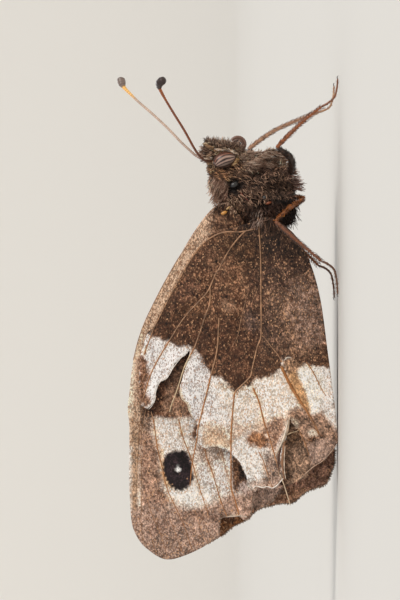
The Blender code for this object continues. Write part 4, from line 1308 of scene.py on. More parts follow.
# spot in the picture; way that the hair points there; length in mm; degrees that it stands up;
# colour; share of the full number of tufts
LIES = [Lie(traced(spot)[0], *rest) for spot, *rest in (
    ("216,143", (-0.1, -1.0), 0.5, 45, "#AC8A72", 1.2),
    ("205,139", (-0.5, -1.0), 0.4, 30, "#3A2A20", 1.0),
    ("226,144", (0.05, -1.0), 0.45, 45, "#A47E66", 1.1),
    ("218,148", (-0.2, -1.0), 0.35, 30, "#BC967A", 1.2),
    ("231,150", (0.3, -0.9), 0.4, 30, "#BC9074", 1.1),
    ("238,152", (0.6, -0.8), 0.45, 35, "#AC8870", 1.1),
    ("206,150", (-0.8, 0.1), 0.7, 30, "#9A7E68", 1.5),
    ("204,160", (-0.6, 0.8), 0.6, 30, "#94765E", 1.3),
    ("210,168", (-0.5, 0.9), 0.5, 24, "#A08468", 1.1),
    ("224,171", (1.0, 0.25), 0.42, 22, "#5E4030", 0.8),
    ("238,166", (0.9, 0.5), 0.42, 25, "#644636", 0.8),
    ("215,174", (-0.4, 1.0), 0.6, 16, "#7E6250", 1.0),
    ("222,182", (-0.5, 0.9), 0.8, 3, "#B8967E", 1.2),
    ("213,192", (-0.4, 1.0), 0.7, 2, "#BC9C86", 1.2),
    ("207,180", (-0.35, 1.0), 0.6, 3, "#B0907A", 1.2),
    ("246,160", (0.9, 0.3), 0.6, 16, "#A88872", 1.0),
    ("262,153", (1.0, 0.0), 0.8, 10, "#BC9C84", 1.2),
    ("282,160", (0.9, 0.2), 0.7, 12, "#B0907A", 1.2),
    ("262,166", (0.8, 0.4), 0.6, 16, "#86685A", 1.0),
    ("233,185", (0.3, 0.9), 0.25, 10, "#1A110D", 0.15),
    ("250,186", (0.6, 0.8), 0.42, 26, "#664A3C", 0.8),
    ("250,176", (0.8, 0.5), 0.5, 22, "#5E483A", 0.8),
    ("276,186", (0.7, 0.7), 0.5, 24, "#6E5444", 0.8),
    ("276,174", (0.8, 0.4), 0.55, 18, "#6A5040", 0.9),
    ("298,180", (1.0, 0.3), 0.5, 10, "#A08072", 1.0),
    ("240,202", (0.2, 1.0), 0.45, 22, "#6E5040", 0.8),
    # painted shade: nearly black, sparse coat over the hollow of the pit
    ("264,197", (0.2, 1.0), 0.25, 15, "#120A07", 0.2),
    ("219,204", (-0.3, 1.0), 0.5, 15, "#2E2018", 0.8),
    ("232,205", (-0.1, 1.0), 0.45, 26, "#86684E", 0.9),
    ("286,205", (0.3, 1.0), 0.7, 20, "#4A3428", 0.9),
    ("276,210", (0.5, 0.9), 0.55, 20, "#86685C", 0.8),
    ("290,222", (0.2, 1.0), 1.0, 22, "#2E1D15", 1.1),
    ("258,216", (0.0, 1.0), 0.8, 18, "#7E6254", 0.8),
    ("232,222", (-0.1, 1.0), 0.7, 15, "#6A5240", 1.0),
    ("270,240", (0.1, 1.0), 0.9, 15, "#58453A", 1.0),
    ("290,290", (0.1, 1.0), 0.5, 12, "#6A5646", 0.8),
    ("305,340", (0.0, 1.0), 0.4, 10, "#6A5646", 0.8),
    ("308,370", (0.0, 1.0), 0.5, 10, "#8A7460", 1.0),
)]


def coat_at(places):
    """Way, length, lift, colour and cover of the coat at places of the body."""
    flat = places[:, [0, 2]]
    spots = np.array([lie.spot for lie in LIES])
    gap = np.linalg.norm(flat[:, None, :] - spots[None], axis=2)
    share = 1 / (gap ** 2 + 0.12) ** 2
    share = share / share.sum(axis=1, keepdims=True)
    ways = np.array([(-lie.way[1], 0.0, -lie.way[0]) for lie in LIES])
    colours = np.array([linear(lie.colour) for lie in LIES])
    rest = np.array([(lie.length, math.radians(lie.lift), lie.cover) for lie in LIES])
    return share @ ways, share @ colours, share @ rest


def marked(mesh, places, normals):
    """Keeps the coat's values at each point of the skin."""
    way, colour, rest = coat_at(places)
    way = way - normals * np.sum(way * normals, axis=1, keepdims=True)
    patch = wander(places[:, [0, 2]], 0.5, 21)[:, None]
    keep(mesh, "lie", way / (np.linalg.norm(way, axis=1, keepdims=True) + 1e-6))
    keep(mesh, "tone", colour * (1 + 0.3 * patch))
    keep(mesh, "length", rest[:, 0])
    keep(mesh, "lift", rest[:, 1])
    keep(mesh, "cover", rest[:, 2])


marked(skin_mesh, skin_places, skin_normals)

# %% [markdown]
# ## Coat
# A butterfly's body is covered in long hair-like scales, which stand in soft tufts on the thorax
# and lie flat on the abdomen. Each tuft is three thin tapered hairs of solid mesh. Geometry Nodes
# strews the tufts over the skin, turns each along the lie of the coat, and lifts it a little.
# Every tuft keeps the colour of the skin at its root, and its place in the skin's unwrap.

# %% Tufts
UV_PATCH = 0.003  # width of a tuft's patch on the unwrap
HAIR_RADIUS = 0.045  # share of the hair's length
HAIR_RINGS = (0.0, 0.3, 0.65)


def tuft(name, seed, spread, curl):
    """Three hairs of length 1 along X that rise towards Z, rooted together."""
    chance = np.random.default_rng(seed)
    verts, faces, along = [], [], []
    for _ in range(3):
        aim = chance.uniform(-spread, spread)
        bend = chance.uniform(-curl, curl)
        rise = chance.uniform(0.0, 0.35)
        reach = chance.uniform(0.7, 1.0)
        root = np.array([chance.uniform(-0.08, 0.08), chance.uniform(-0.1, 0.1), -0.03])
        turn = chance.uniform(0, math.tau)
        first = len(verts)
        for share in HAIR_RINGS + (1.0,):
            angle = aim + bend * share
            centre = root + reach * share * np.array([math.cos(angle), math.sin(angle),
                                                      rise * (1 - share * share)])
            if share == 1.0:
                verts.append(tuple(centre))
                along.append(1.0)
                continue
            width = HAIR_RADIUS * (1.0 - 0.55 * share)
            for k in range(3):
                around = turn + k * math.tau / 3
                side = np.array([0.0, math.cos(around), math.sin(around)]) * width
                verts.append(tuple(centre + side))
                along.append(share)
        for ring in range(len(HAIR_RINGS) - 1):
            for k in range(3):
                a, b = first + 3 * ring + k, first + 3 * ring + (k + 1) % 3
                faces.append((a, b, b + 3, a + 3))
        last = first + 3 * (len(HAIR_RINGS) - 1)
        for k in range(3):
            faces.append((last + k, last + (k + 1) % 3, last + 3))
        faces.append((first + 2, first + 1, first))
    mesh = bpy.data.meshes.new(name)
    mesh.from_pydata(verts, [], faces)
    keep(mesh, "along", along)
    laid = mesh.uv_layers.new(name="tuft_uv")
    points = np.array(verts)[[loop.vertex_index for loop in mesh.loops]]
    inside = np.stack([points[:, 0], 0.5 + 0.5 * points[:, 1]], axis=1).clip(0, 1)
    laid.data.foreach_set("uv", inside.astype(np.float32).ravel())
    mesh.shade_smooth()
    return bpy.data.objects.new(name, mesh)


TUFTS = bpy.data.collections.new("tufts")
for number in range(8):
    TUFTS.objects.link(tuft(f"tuft_{number}", number + 1, 0.45, 0.9))


# %% Geometry Nodes: coat
def random_value(tree, low, high, seed):
    return add(tree, "FunctionNodeRandomValue", {2: low, 3: high, "Seed": seed},
               data_type="FLOAT").outputs[1]


def coat_tree():
    tree = new_tree("Coat of tufts", [("Tufts", "NodeSocketCollection"),
                                      ("Density", "NodeSocketFloat"), ("Seed", "NodeSocketInt"),
                                      ("Thickness", "NodeSocketFloat"),
                                      ("Finish", "NodeSocketMaterial")])
    given = add(tree, "NodeGroupInput").outputs
    crowd = maths(tree, "MULTIPLY", given["Density"], attribute_of(tree, "cover"))
    strewn = add(tree, "GeometryNodeDistributePointsOnFaces", {
        "Mesh": given["Geometry"], "Density": crowd, "Seed": given["Seed"]})
    upright = add(tree, "FunctionNodeAxesToRotation", {
        "Primary Axis": strewn.outputs["Normal"],
        "Secondary Axis": attribute_of(tree, "lie", "FLOAT_VECTOR")},
        primary_axis="Z", secondary_axis="X").outputs[0]
    lift = maths(tree, "MULTIPLY", attribute_of(tree, "lift"), random_value(tree, 0.5, 1.6, 4))
    angles = add(tree, "ShaderNodeCombineXYZ", {
        "Y": maths(tree, "MULTIPLY", lift, -1.0), "Z": random_value(tree, -0.45, 0.45, 3)}).outputs[0]
    by = add(tree, "FunctionNodeEulerToRotation", {"Euler": angles}).outputs[0]
    turned = add(tree, "FunctionNodeRotateRotation", {"Rotation": upright, "Rotate By": by},
                 rotation_space="LOCAL").outputs[0]
    long = maths(tree, "MULTIPLY", attribute_of(tree, "length"), random_value(tree, 0.65, 1.25, 5))
    size = add(tree, "ShaderNodeCombineXYZ", {"X": long, "Y": given["Thickness"],
                                              "Z": given["Thickness"]}).outputs[0]
    shade = random_value(tree, 0.0, 1.0, 6)
    points = strewn.outputs["Points"]
    root = attribute_of(tree, "OFBake", "FLOAT_VECTOR")
    for name, kind, value in (("root_uv", "FLOAT_VECTOR", root), ("shade", "FLOAT", shade)):
        points = add(tree, "GeometryNodeStoreNamedAttribute", {
            "Geometry": points, "Name": name, "Value": value}, data_type=kind,
            domain="POINT").outputs[0]
    shapes = add(tree, "GeometryNodeCollectionInfo", {
        "Collection": given["Tufts"], "Separate Children": True,
        "Reset Children": True}).outputs[0]
    placed = add(tree, "GeometryNodeInstanceOnPoints", {
        "Points": points, "Instance": shapes, "Pick Instance": True, "Rotation": turned,
        "Scale": size}).outputs[0]
    real = add(tree, "GeometryNodeRealizeInstances", {"Geometry": placed}).outputs[0]
    spot = vectors(tree, "SUBTRACT", attribute_of(tree, "tuft_uv", "FLOAT_VECTOR"), (0.5, 0.5, 0.0))
    laid = vectors(tree, "ADD", attribute_of(tree, "root_uv", "FLOAT_VECTOR"),
                   scaled(tree, spot, UV_PATCH))
    stored = add(tree, "GeometryNodeStoreNamedAttribute", {
        "Geometry": real, "Name": "OFBake", "Value": laid}, data_type="FLOAT2",
        domain="CORNER").outputs[0]
    dressed = add(tree, "GeometryNodeSetMaterial", {
        "Geometry": stored, "Material": given["Finish"]}).outputs[0]
    add(tree, "NodeGroupOutput", {"Geometry": dressed})
    return tree


def soft_hair(name):
    """Hair-like scales: matt, each tuft lighter or darker than the next, and darker towards the root as
    painted shade.
    """
    material, tree, shader = new_material(name, {"Roughness": 0.5, "Specular IOR Level": 0.35})
    # Most tufts are dark and a few are bright
    bright = maths(tree, "MULTIPLY_ADD", maths(tree, "POWER", kept(tree, "shade", "Fac"), 4.0), 4.0,
        0.2)
    # painted shade: each hair darkens towards its root, where the coat shades it
    rooted = maths(tree, "MULTIPLY_ADD", kept(tree, "along", "Fac"), 0.9, 0.45)
    colour = scaled(tree, kept(tree, "tone"), maths(tree, "MULTIPLY", bright, rooted))
    tree.links.new(no_whiter(tree, colour), shader.inputs["Base Color"])
    return material


def short_fur(name):
    """The skin between the tufts: dark horn under very short hair, seen as a fine streaky bump; its
    darkness is partly painted shade deep in the coat.
    """
    material, tree, shader = new_material(name, {"Roughness": 0.7, "Specular IOR Level": 0.15})
    streak = clouds(tree, position(tree), 0.09, 4.0)
    # partly painted shade: the coat's own colour, darkened far down, stands for the shade between the
    # tufts
    colour = scaled(tree, kept(tree, "tone"), maths(tree, "MULTIPLY", streak, 0.3))
    tree.links.new(colour, shader.inputs["Base Color"])
    bumped(tree, shader, streak, 0.8, 0.06)
    return material


COAT = coat_tree()
HAIR = soft_hair("soft brown hair")
skin_mesh.materials.append(short_fur("dark skin and painted shade under short fur"))


# %% Coats of the body
COATS = (
    # name, tufts a square millimetre, thickness, test of a place along the body
    ("coat_head", 44, 0.95, lambda x: x > 12.6),
    ("coat_thorax", 34, 1.1, lambda x: (x <= 12.6) & (x > 10.2)),
    ("coat_rear", 28, 1.0, lambda x: (x <= 10.2) & (x > 7.4)),
    ("coat_abdomen", 34, 0.5, lambda x: x <= 7.4),
)


def part_of_skin(test):
    """The faces of the skin whose middle passes a test."""
    cut = bmesh.new()
    cut.from_mesh(skin_mesh)
    away = [f for f in cut.faces if not test(f.calc_center_median().x)]
    bmesh.ops.delete(cut, geom=away, context="FACES")
    mesh = bpy.data.meshes.new("part of skin")
    cut.to_mesh(mesh)
    cut.free()
    return mesh


for seed, (coat_name, density, thickness, test) in enumerate(COATS):
    source = part_of_skin(test)
    mesh = grown(coat_name, source, COAT, {"Tufts": TUFTS, "Density": density, "Seed": seed,
                                           "Thickness": thickness, "Finish": HAIR})
    bpy.data.meshes.remove(source)
    finished(coat_name, mesh)
finished("skin", skin_mesh, ["head", "thorax", "abdomen", "palp_right", "palp_left",
                                    "foreleg_right", "foreleg_left"])

# %% [markdown]
# ## Eyes
# The compound eyes are deep ovals of thousands of facets. On this butterfly they are brown with
# darker lines along them, and very glossy.

# %% Eyes
EYE_CENTRE = (13.51, 1.02, 9.63)
EYE_RADII = (0.69, 0.56, 1.0)
EYE_TILT = -17
STRIPE_STEP = 26.5  # degrees round the eye
STRIPE_TURN = 0.17  # the stripes run a little askew of the eye's long axis, and are bowed
STRIPE_BOW = 0.3
EYE_PALE = "#A8897A"
EYE_BROWN = "#85543F"
EYE_LOW = "#6A564A"
EYE_DARK = "#2A120C"
EYE_RIM = "#3A2017"
FACET_SIZE = 0.03  # real facets are about 0.025 mm wide


def facets(name):
    """Glossy eye with fine six-sided facets."""
    material, tree, shader = new_material(name, {
        "Roughness": 0.34, "Coat Weight": 0.25, "Coat Roughness": 0.12})
    cells = add(tree, "ShaderNodeTexVoronoi", {
        "Vector": position(tree), "Scale": 1 / (FACET_SIZE * MM), "Randomness": 0.3})
    bumped(tree, shader, maths(tree, "MULTIPLY", cells.outputs["Distance"], -1.0), 0.4, 0.008)
    tree.links.new(kept(tree, "tone"), shader.inputs["Base Color"])
    return material


FACETS = facets("glossy facets")


def eye(side):
    model = bmesh.new()
    bmesh.ops.create_uvsphere(model, u_segments=72, v_segments=48, radius=1.0)
    ball = np.array([v.co for v in model.verts])
    across, out, along = ball[:, 0], side * ball[:, 1], ball[:, 2]
    askew = across * math.cos(STRIPE_TURN) + along * math.sin(STRIPE_TURN)
    bowed = askew + STRIPE_BOW * (along ** 2 - 0.1)
    angle = np.degrees(np.arctan2(bowed, out))
    waver = 3 * wander(ball[:, [2, 0]], 0.5, 8)
    wave = -np.cos(np.radians((angle + waver) * 360 / STRIPE_STEP))
    stripe = smooth(0.6 + 0.8 * wave)[:, None]
    upper, lower = smooth((angle - 15) / 25)[:, None], smooth((-angle - 20) / 20)[:, None]
    pale = blended(blended(linear(EYE_PALE), linear(EYE_BROWN), upper), linear(EYE_LOW), lower)
    pupil = np.exp(-((askew + 0.04) / 0.1) ** 2 - ((along - 0.08) / 0.24) ** 2)[:, None]
    stripe = stripe * (1 - pupil)
    tone = blended(linear(EYE_DARK) * (1 - 0.7 * pupil), pale, stripe)
    tone = blended(tone, linear(EYE_RIM), smooth((0.5 - out) / 0.25)[:, None])
    mesh = bpy.data.meshes.new("eye")
    place = (Matrix.Translation((EYE_CENTRE[0], side * EYE_CENTRE[1], EYE_CENTRE[2]))
             @ Matrix.Rotation(math.radians(EYE_TILT), 4, "Y") @ Matrix.Diagonal((*EYE_RADII, 1.0)))
    model.transform(place)
    model.to_mesh(mesh)
    model.free()
    keep(mesh, "tone", tone)
    mesh.shade_smooth()
    mesh.materials.append(FACETS)
    return mesh


for label, side in SIDES.items():
    finished(f"eyeball_{label}", eye(side), [f"eye_{label}"])

# %% [markdown]
# ## Tongue and feelers
# The tongue is coiled like a watch spring under the face, in two turns. The feelers are thin
# ringed shafts which swell into dark clubs.

# %% Tongue
COIL_CENTRE = (14.84, 8.46)
COIL_START = 150
COIL_TURNS = 2.7
COIL_OUTER = 0.66
COIL_INNER = 0.09
COIL_POINTS = 220
# painted light and shade: the outer turn is lighter where light catches it, and the inner turns darker
# in shade
COIL_LIT_OUTSIDE = "#7A5646"
COIL_SHADED_INSIDE = "#2E1810"


def coil():
    share = np.linspace(0, 1, COIL_POINTS)
    angle = np.radians(COIL_START) - share * COIL_TURNS * math.tau
    reach = blended(COIL_OUTER, COIL_INNER, share)
    line = np.stack([COIL_CENTRE[0] + reach * np.sin(angle), 0.05 * np.sin(share * 9),
                     COIL_CENTRE[1] - reach * np.cos(angle)], axis=1)
    radius = (0.145 - 0.07 * share) * (1 + 0.05 * np.sin(share * 420))
    return Strand(line, radius, shaded(COIL_POINTS, COIL_LIT_OUTSIDE, COIL_SHADED_INSIDE))


tube_piece("tongue", [coil()], GLOSSY_HORN, 12, ["proboscis"])

# %% Feelers
SHAFT_RADIUS = 0.11
RING_PITCH = 0.22
FEELERS = {
    # line in the picture, distance from the middle at its root and tip, colours of root, shaft,
    # neck of the club and club
    "right": (traced(
        "215,161 206,160.7 200.5,157.3 194,148 184.6,131 175,115.5 167.4,103 161.5,92.5 159.2,87 "
        "159.8,83.2 162,81 165.5,80.4"), -0.5, -7.4, ("#4A2A18", "#86441C", "#A8581E", "#2A0F06")),
    "left": (traced(
        "212,158 203,159 196,155.7 189.4,150 180.8,142 167.4,128 152,113.6 139.7,103 132,95.6 "
        "125,88.6 122.4,84.5 121.2,80.5 121,77.4"), 0.5, 5.1, ("#8A6C5C", "#BCA08C", "#EEB45C",
        "#78655C")),
}
CLUB_LENGTHS = {"right": 1.5, "left": 1.2}
NECK_LENGTH = 1.7


def sighted(spots, sideways):
    """Spots of the picture brought to their distance from the middle plane of the animal."""
    share = 1 + (sideways + BODY_Y - VIEW_CENTRE[1]) / CAMERA_DISTANCE
    x = VIEW_CENTRE[0] + (np.array(spots)[:, 0] - VIEW_CENTRE[0]) * share
    z = VIEW_CENTRE[2] + (np.array(spots)[:, 1] - VIEW_CENTRE[2]) * share
    return np.stack([x, sideways, z], axis=1)


def feeler(club_length, spots, near, far, colours):
    reach = reach_of(spots)
    line = space_line(sighted(spots, near + (far - near) * reach / reach[-1]), 0.05)
    left = (len(line) - 1 - np.arange(len(line))) * 0.05
    share = (1 - left / club_length).clip(0, 1)
    club = 0.215 * smooth(share / 0.6) + 0.03 * smooth((club_length + 1.2 - left) / 1.2)
    rings = 0.012 * np.cos(math.tau * left / RING_PITCH)
    blunt = np.sqrt(1.001 - ((share - 0.78) / 0.22).clip(0, 1) ** 2)
    radius = (SHAFT_RADIUS + rings + club) * blunt
    along = np.linspace(0, 1, len(line))[:, None]
    root, shaft, neck, tip = (linear(colour) for colour in colours)
    tone = blended(root, shaft, smooth(along / 0.4))
    tone = blended(tone, neck, smooth(club_length + NECK_LENGTH - left)[:, None])
    tone = blended(tone, tip, smooth((share - 0.1) / 0.16)[:, None])
    ringed = 0.5 + 0.5 * np.cos(math.tau * left / RING_PITCH)[:, None]
    return Strand(line, radius, tone * (0.8 + 0.35 * ringed))


for label, given in FEELERS.items():
    tube_piece(f"feeler_{label}", [feeler(CLUB_LENGTHS[label], *given)], GLOSSY_HORN, 12,
               [f"antenna_{label}"])

# %% [markdown]
# ## Legs
# Each leg has a thick furry thigh, a thinner orange-brown shin with short spines, and a foot of
# five small joints with two claws.

# %% Legs
LEG_LINES = {
    # leg: thigh from the hip to the knee, shin, foot; and their colours
    "mid_right": (
        [(12.0, -0.9, 4.9), (12.5, -1.5, 4.0), (13.4, -2.4, 3.95), (14.0, -2.8, 4.45),
         (14.45, -3.15, 5.15)],
        [(14.5, -3.15, 5.2), (15.0, -3.45, 4.75), (16.6, -4.0, 3.1), (17.9, -4.5, 1.45)],
        [(17.9, -4.5, 1.45), (18.2, -4.7, 0.9), (18.65, -4.8, 0.42), (19.4, -5.0, 0.2),
         (20.2, -5.15, 0.13)], ("#3A2418", "#94501F", "#7E4620")),
    "mid_left": (
        [(12.2, 1.0, 5.3), (12.9, 1.65, 5.4), (13.7, 2.4, 6.7), (14.5, 2.95, 7.5)],
        [(14.5, 2.95, 7.5), (14.85, 3.15, 7.2), (16.3, 4.4, 5.1), (17.6, 5.35, 2.1)],
        [(17.6, 5.35, 2.1), (17.9, 5.6, 1.2), (18.3, 5.75, 0.5), (19.2, 5.85, 0.2),
         (20.1, 5.9, 0.13)], ("#7A5440", "#B98A6C", "#B08464")),
    "hind_right": (
        [(10.4, -0.8, 3.6), (10.15, -1.75, 3.0), (9.35, -2.9, 4.2), (8.25, -3.7, 5.35)],
        [(8.2, -3.75, 5.35), (7.9, -3.85, 5.0), (6.3, -4.35, 3.2), (4.85, -4.8, 1.5)],
        [(4.85, -4.8, 1.5), (4.6, -4.9, 0.95), (4.1, -4.95, 0.42), (3.1, -5.05, 0.2),
         (2.1, -5.1, 0.13)], ("#9A5A28", "#784424", "#5E3A20")),
    "hind_left": (
        [(10.4, 0.8, 3.6), (10.15, 1.75, 3.0), (9.3, 2.95, 4.1), (8.15, 3.8, 5.15)],
        [(8.1, 3.85, 5.15), (7.65, 4.0, 4.8), (6.0, 4.5, 3.0), (4.55, 4.95, 1.5)],
        [(4.55, 4.95, 1.5), (4.3, 5.05, 0.9), (3.8, 5.1, 0.42), (2.8, 5.2, 0.2),
         (1.8, 5.25, 0.13)], ("#8A5228", "#8E5428", "#6E4222")),
}
THIGH_RADII = (0.17, 0.22, 0.21, 0.14)
THIGH_GIRTH = {"mid_right": 1.2, "mid_left": 1.0, "hind_right": 0.76, "hind_left": 0.76}
SHIN_RADII = (0.15, 0.17, 0.12, 0.09)
FOOT_RADII = (0.1, 0.095, 0.085, 0.07)
FOOT_JOINTS = 5
HIP_COLOUR = "#2A160D"
LEG_STEP = 0.06
SPINE_STEP = 0.28
SPINE_ROWS = (0.9, 2.4, 3.9, 5.4)  # angles round the shin
SPINE_RADII = np.array([0.035, 0.026, 0.006])
SPINE_TIP = "#2A150B"
CLAW_RADII = np.array([0.045, 0.04, 0.028, 0.008])
CLAW_COLOUR = "#1E0F08"


def leg_strands(thigh, shin, foot, colours, girth):
    strands, marks = [], {"lie": [], "length": [], "lift": [], "cover": []}
    for points, radii, colour, hair in ((thigh, THIGH_RADII, colours[0], (0.3, 0.36, 0.8)),
                                        (shin, SHIN_RADII, colours[1], (0.18, 0.4, 0.3)),
                                        (foot, FOOT_RADII, colours[2], (0.14, 0.3, 0.3))):
        line = space_line(points, LEG_STEP)
        radius = np.interp(np.linspace(0, 1, len(line)), np.linspace(0, 1, len(radii)), radii)
        if points is thigh:
            radius = radius * girth
        if points is foot:
            joint = np.linspace(0, FOOT_JOINTS, len(line)) % 1
            radius = radius * (1 - 0.35 * np.exp(-(joint / 0.1) ** 2))
        tone = shaded(len(line), HIP_COLOUR, colour, 0.5) if points is thigh else linear(colour)
        strands.append(Strand(line, radius, tone))
        marks["lie"].append(unit(np.gradient(line, axis=0)))
        for label, value in zip(("length", "lift", "cover"), hair):
            marks[label].append(np.full(len(line), value))
    return strands, marks


def spines(shin, foot, colour, seed):
    """Four rows of spines along the shin, and two claws at the end of the foot."""
    chance = np.random.default_rng(seed)
    made = []
    line = space_line(shin, SPINE_STEP)
    for i in range(1, len(line) - 1):
        way = unit(line[i + 1] - line[i - 1])
        across = np.cross(way, (0.0, 1.0, 0.0))
        for turn in SPINE_ROWS:
            out = across * math.cos(turn) + np.cross(way, across) * math.sin(turn)
            lean = way * chance.uniform(0.9, 1.5) + out
            length = chance.uniform(0.2, 0.34)
            root = line[i] + out * 0.1
            spine = np.array([root, root + lean * length * 0.5, root + (lean + way * 0.3) * length])
            made.append(Strand(spine, SPINE_RADII, shaded(3, colour, SPINE_TIP)))
    end = np.array(foot[-1])
    for way in (-1, 1):
        hook = np.array([end, end + (0.1, way * 0.06, 0.05), end + (0.22, way * 0.11, 0.02),
                         end + (0.27, way * 0.12, -0.07)])
        if foot[-1][0] < foot[0][0]:
            hook[:, 0] = 2 * end[0] - hook[:, 0]
        made.append(Strand(hook, CLAW_RADII, linear(CLAW_COLOUR)))
    return made


for seed, (label, (thigh, shin, foot, colours)) in enumerate(LEG_LINES.items()):
    strands, marks = leg_strands(thigh, shin, foot, colours, THIGH_GIRTH[label])
    marks = {key: np.concatenate(values) for key, values in marks.items()}
    mesh = unwrapped(tubes("leg", strands, GLOSSY_HORN, 12, marks))
    coat = grown("leg coat", mesh, COAT, {"Tufts": TUFTS, "Density": 60, "Seed": seed + 10,
                                          "Thickness": 0.35, "Finish": HAIR})
    finished(f"coat_leg_{label}", coat)
    finished(f"leg_{label}", mesh, [f"femur_{label}", f"tibia_{label}", f"tarsus_{label}"])
    tube_piece(f"spines_{label}", spines(shin, foot, colours[1], seed), GLOSSY_HORN, 5)


# %% [markdown]
# ## Locks that stand out
# Some hair has a character of its own: bright short rows under the eye, a brush on the palps, a
# smooth collar, long hair that streams over the wing roots. Each is strewn over a given area of
# the side view, hugs the skin or the wings below it, and its two colours say how it glitters.

# %% Locks
Lock = namedtuple("Lock", "area way spread shortest longest number thick dark pale stand over",
                  defaults=("skin",))
# area in the picture; way that the hair points there; spread in degrees; lengths; number;
# radius; darkest and palest colour; how far out it stands, and what it lies over
LOCKS = [Lock(traced(area), *rest) for area, *rest in (
    ("205,141 228,143 234,148 212,148",
     (-0.1, -1.0), 30, 0.35, 0.62, 220, 0.028, "#4A3226", "#D8B8A0", 0.12),
    ("202,142 206,143 212,146.5 220,148.5 228,149 228,150.5 218,150.5 209,149 203,145",
     (1.0, 0.25), 8, 0.3, 0.5, 110, 0.04, "#A07450", "#F0D4AE", 0.34),
    ("214,147.4 223,147.6 230,149.6 236,152.6 235.4,154 229.6,151.6 223,149.4 214,149.2",
     (1.0, 0.3), 8, 0.2, 0.34, 150, 0.032, "#D0AC8A", "#FFF4E8", 0.6),
    ("230,148 240,148 248,153 242,160 234,154",
     (0.8, 0.2), 50, 0.3, 0.6, 190, 0.03, "#5E4436", "#E4C2A8", 0.16),
    ("226,146 238,147 243,152 240,157 230,153",
     (0.35, -1.0), 40, 0.4, 0.8, 170, 0.028, "#3A261C", "#CBA68C", 0.1),
    ("229,164 234,160 237,161 232,166.5",
     (0.85, -0.55), 10, 0.3, 0.5, 40, 0.036, "#B08050", "#F2CFA0", 0.35),
    ("207,157 213,157 213,160.5 207,160",
     (-1.0, 0.1), 20, 0.2, 0.35, 40, 0.034, "#C8A488", "#F4E2D0", 0.3),
    ("278,157 288,158 294,170 284,172",
     (0.9, -0.1), 26, 0.4, 0.7, 110, 0.028, "#6E5240", "#D8B8A0", 0.08),
    ("244,153 262,154 266,162 246,163",
     (0.9, -0.5), 30, 0.4, 0.7, 170, 0.028, "#7A5C4A", "#E4C4AC", 0.11),
    ("202,146 212,146 214,154 210,162 201,158",
     (-0.8, 0.1), 50, 0.3, 0.55, 260, 0.03, "#3E281C", "#C49E86", 0.1),
    ("207,166 216,168 226,170 226,178 214,180 207,174",
     (0.9, 0.3), 30, 0.3, 0.55, 150, 0.042, "#341A10", "#E4A878", 0.2),
    ("224,169 238,160 246,166 242,178 226,178",
     (1.0, 0.4), 20, 0.25, 0.42, 150, 0.042, "#2C1810", "#E8B48C", 0.2),
    ("236,156 246,158 258,170 246,172",
     (0.9, 0.6), 30, 0.25, 0.42, 110, 0.036, "#5E4636", "#ECCAB0", 0.2),
    ("210,174 226,176 230,190 222,204 214,196",
     (-0.45, 0.9), 7, 0.55, 0.95, 290, 0.027, "#7A5644", "#D8B49C", 0.1),
    ("240,152 262,150 284,153 292,166 266,168 242,166",
     (1.0, 0.1), 14, 0.5, 0.95, 420, 0.03, "#8E6C58", "#F0D4BE", 0.15),
    ("244,164 290,166 292,172 246,172",
     (1.0, 0.25), 16, 0.4, 0.7, 170, 0.03, "#4E3426", "#B08C78", 0.16),
    ("240,170 290,170 300,184 284,196 250,196 242,182",
     (0.8, 0.6), 44, 0.25, 0.5, 360, 0.036, "#24140C", "#CCA286", 0.2),
    ("236,188 262,186 270,200 250,206 240,204",
     (0.5, 0.8), 60, 0.2, 0.36, 190, 0.036, "#4A3024", "#DCB294", 0.22),
    ("262,184 290,184 292,196 268,200",
     (0.7, 0.7), 60, 0.25, 0.45, 100, 0.034, "#2E1C12", "#B8947A", 0.22),
    ("284,168 308,171 308,190 290,190",
     (1.0, 0.2), 16, 0.5, 0.9, 230, 0.03, "#6A4A3E", "#C4A092", 0.12),
    # partly painted shade: the hair at the root of the legs is made nearly black where it lies in shade
    ("274,198 300,196 302,208 280,218",
     (0.05, 1.0), 24, 0.8, 1.5, 340, 0.034, "#120B07", "#3A2418", 0.05),
    ("226,198 240,198 244,210 230,212",
     (-0.1, 1.0), 80, 0.2, 0.4, 150, 0.034, "#5A3A2A", "#E4BE9E", 0.1, "wings"),
    ("240,200 262,206 300,206 304,222 284,230 252,222",
     (0.05, 1.0), 50, 0.5, 1.2, 420, 0.026, "#24150E", "#8E6A56", 0.0, "wings"),
    ("252,210 264,210 264,222 254,226",
     (-0.35, 1.0), 30, 0.4, 0.8, 70, 0.028, "#8A6A5A", "#E0C8B8", 0.1, "wings"),
    ("266,202 290,202 288,216 270,218",
     (0.7, 0.7), 30, 0.4, 0.7, 110, 0.03, "#543A2E", "#B89484", 0.15, "wings"),
    ("214,200 226,198 236,206 228,216 214,212",
     (-0.5, 1.0), 40, 0.25, 0.5, 110, 0.028, "#1E120C", "#7A5038", 0.0, "wings"),
)]
ROOT_REACH = 0.5  # a root this close to the skin is set on it
NOWHERE = -9.0
STEEPEST = 0.12  # how far a hair may fall inwards from one of its points to the next
LOCK_POINTS = 5
LOCK_SHADE = 0.67
BRIGHT_HAIRS = 0.2  # share of the hairs that glitter


def skin_out(x, z, side, before=None):
    """How far out the skin is where a line of sight from one side meets it, or passes close by."""
    met = SKIN_TREE.ray_cast(Vector((x, side * 9.0, z)), Vector((0.0, -side, 0.0)))[0]
    if met:
        return side * met.y
    if before is not None:
        return before
    near = SKIN_TREE.find_nearest(Vector((x, side * 0.4, z)), ROOT_REACH)[0]
    return None if near is None else side * near.y


def wings_out(places):
    """How far out the wings' outer face is at places of the side view, or NOWHERE beside them."""
    out = np.full(len(places), NOWHERE)
    for outline, depth in ((whole_hindwing, hindwing_depth(False)), (whole_forewing, forewing_depth)):
        held = within(places, outline)
        if held.any():
            out[held] = np.maximum(out[held], depth(places[held]) + 0.05)
    return out


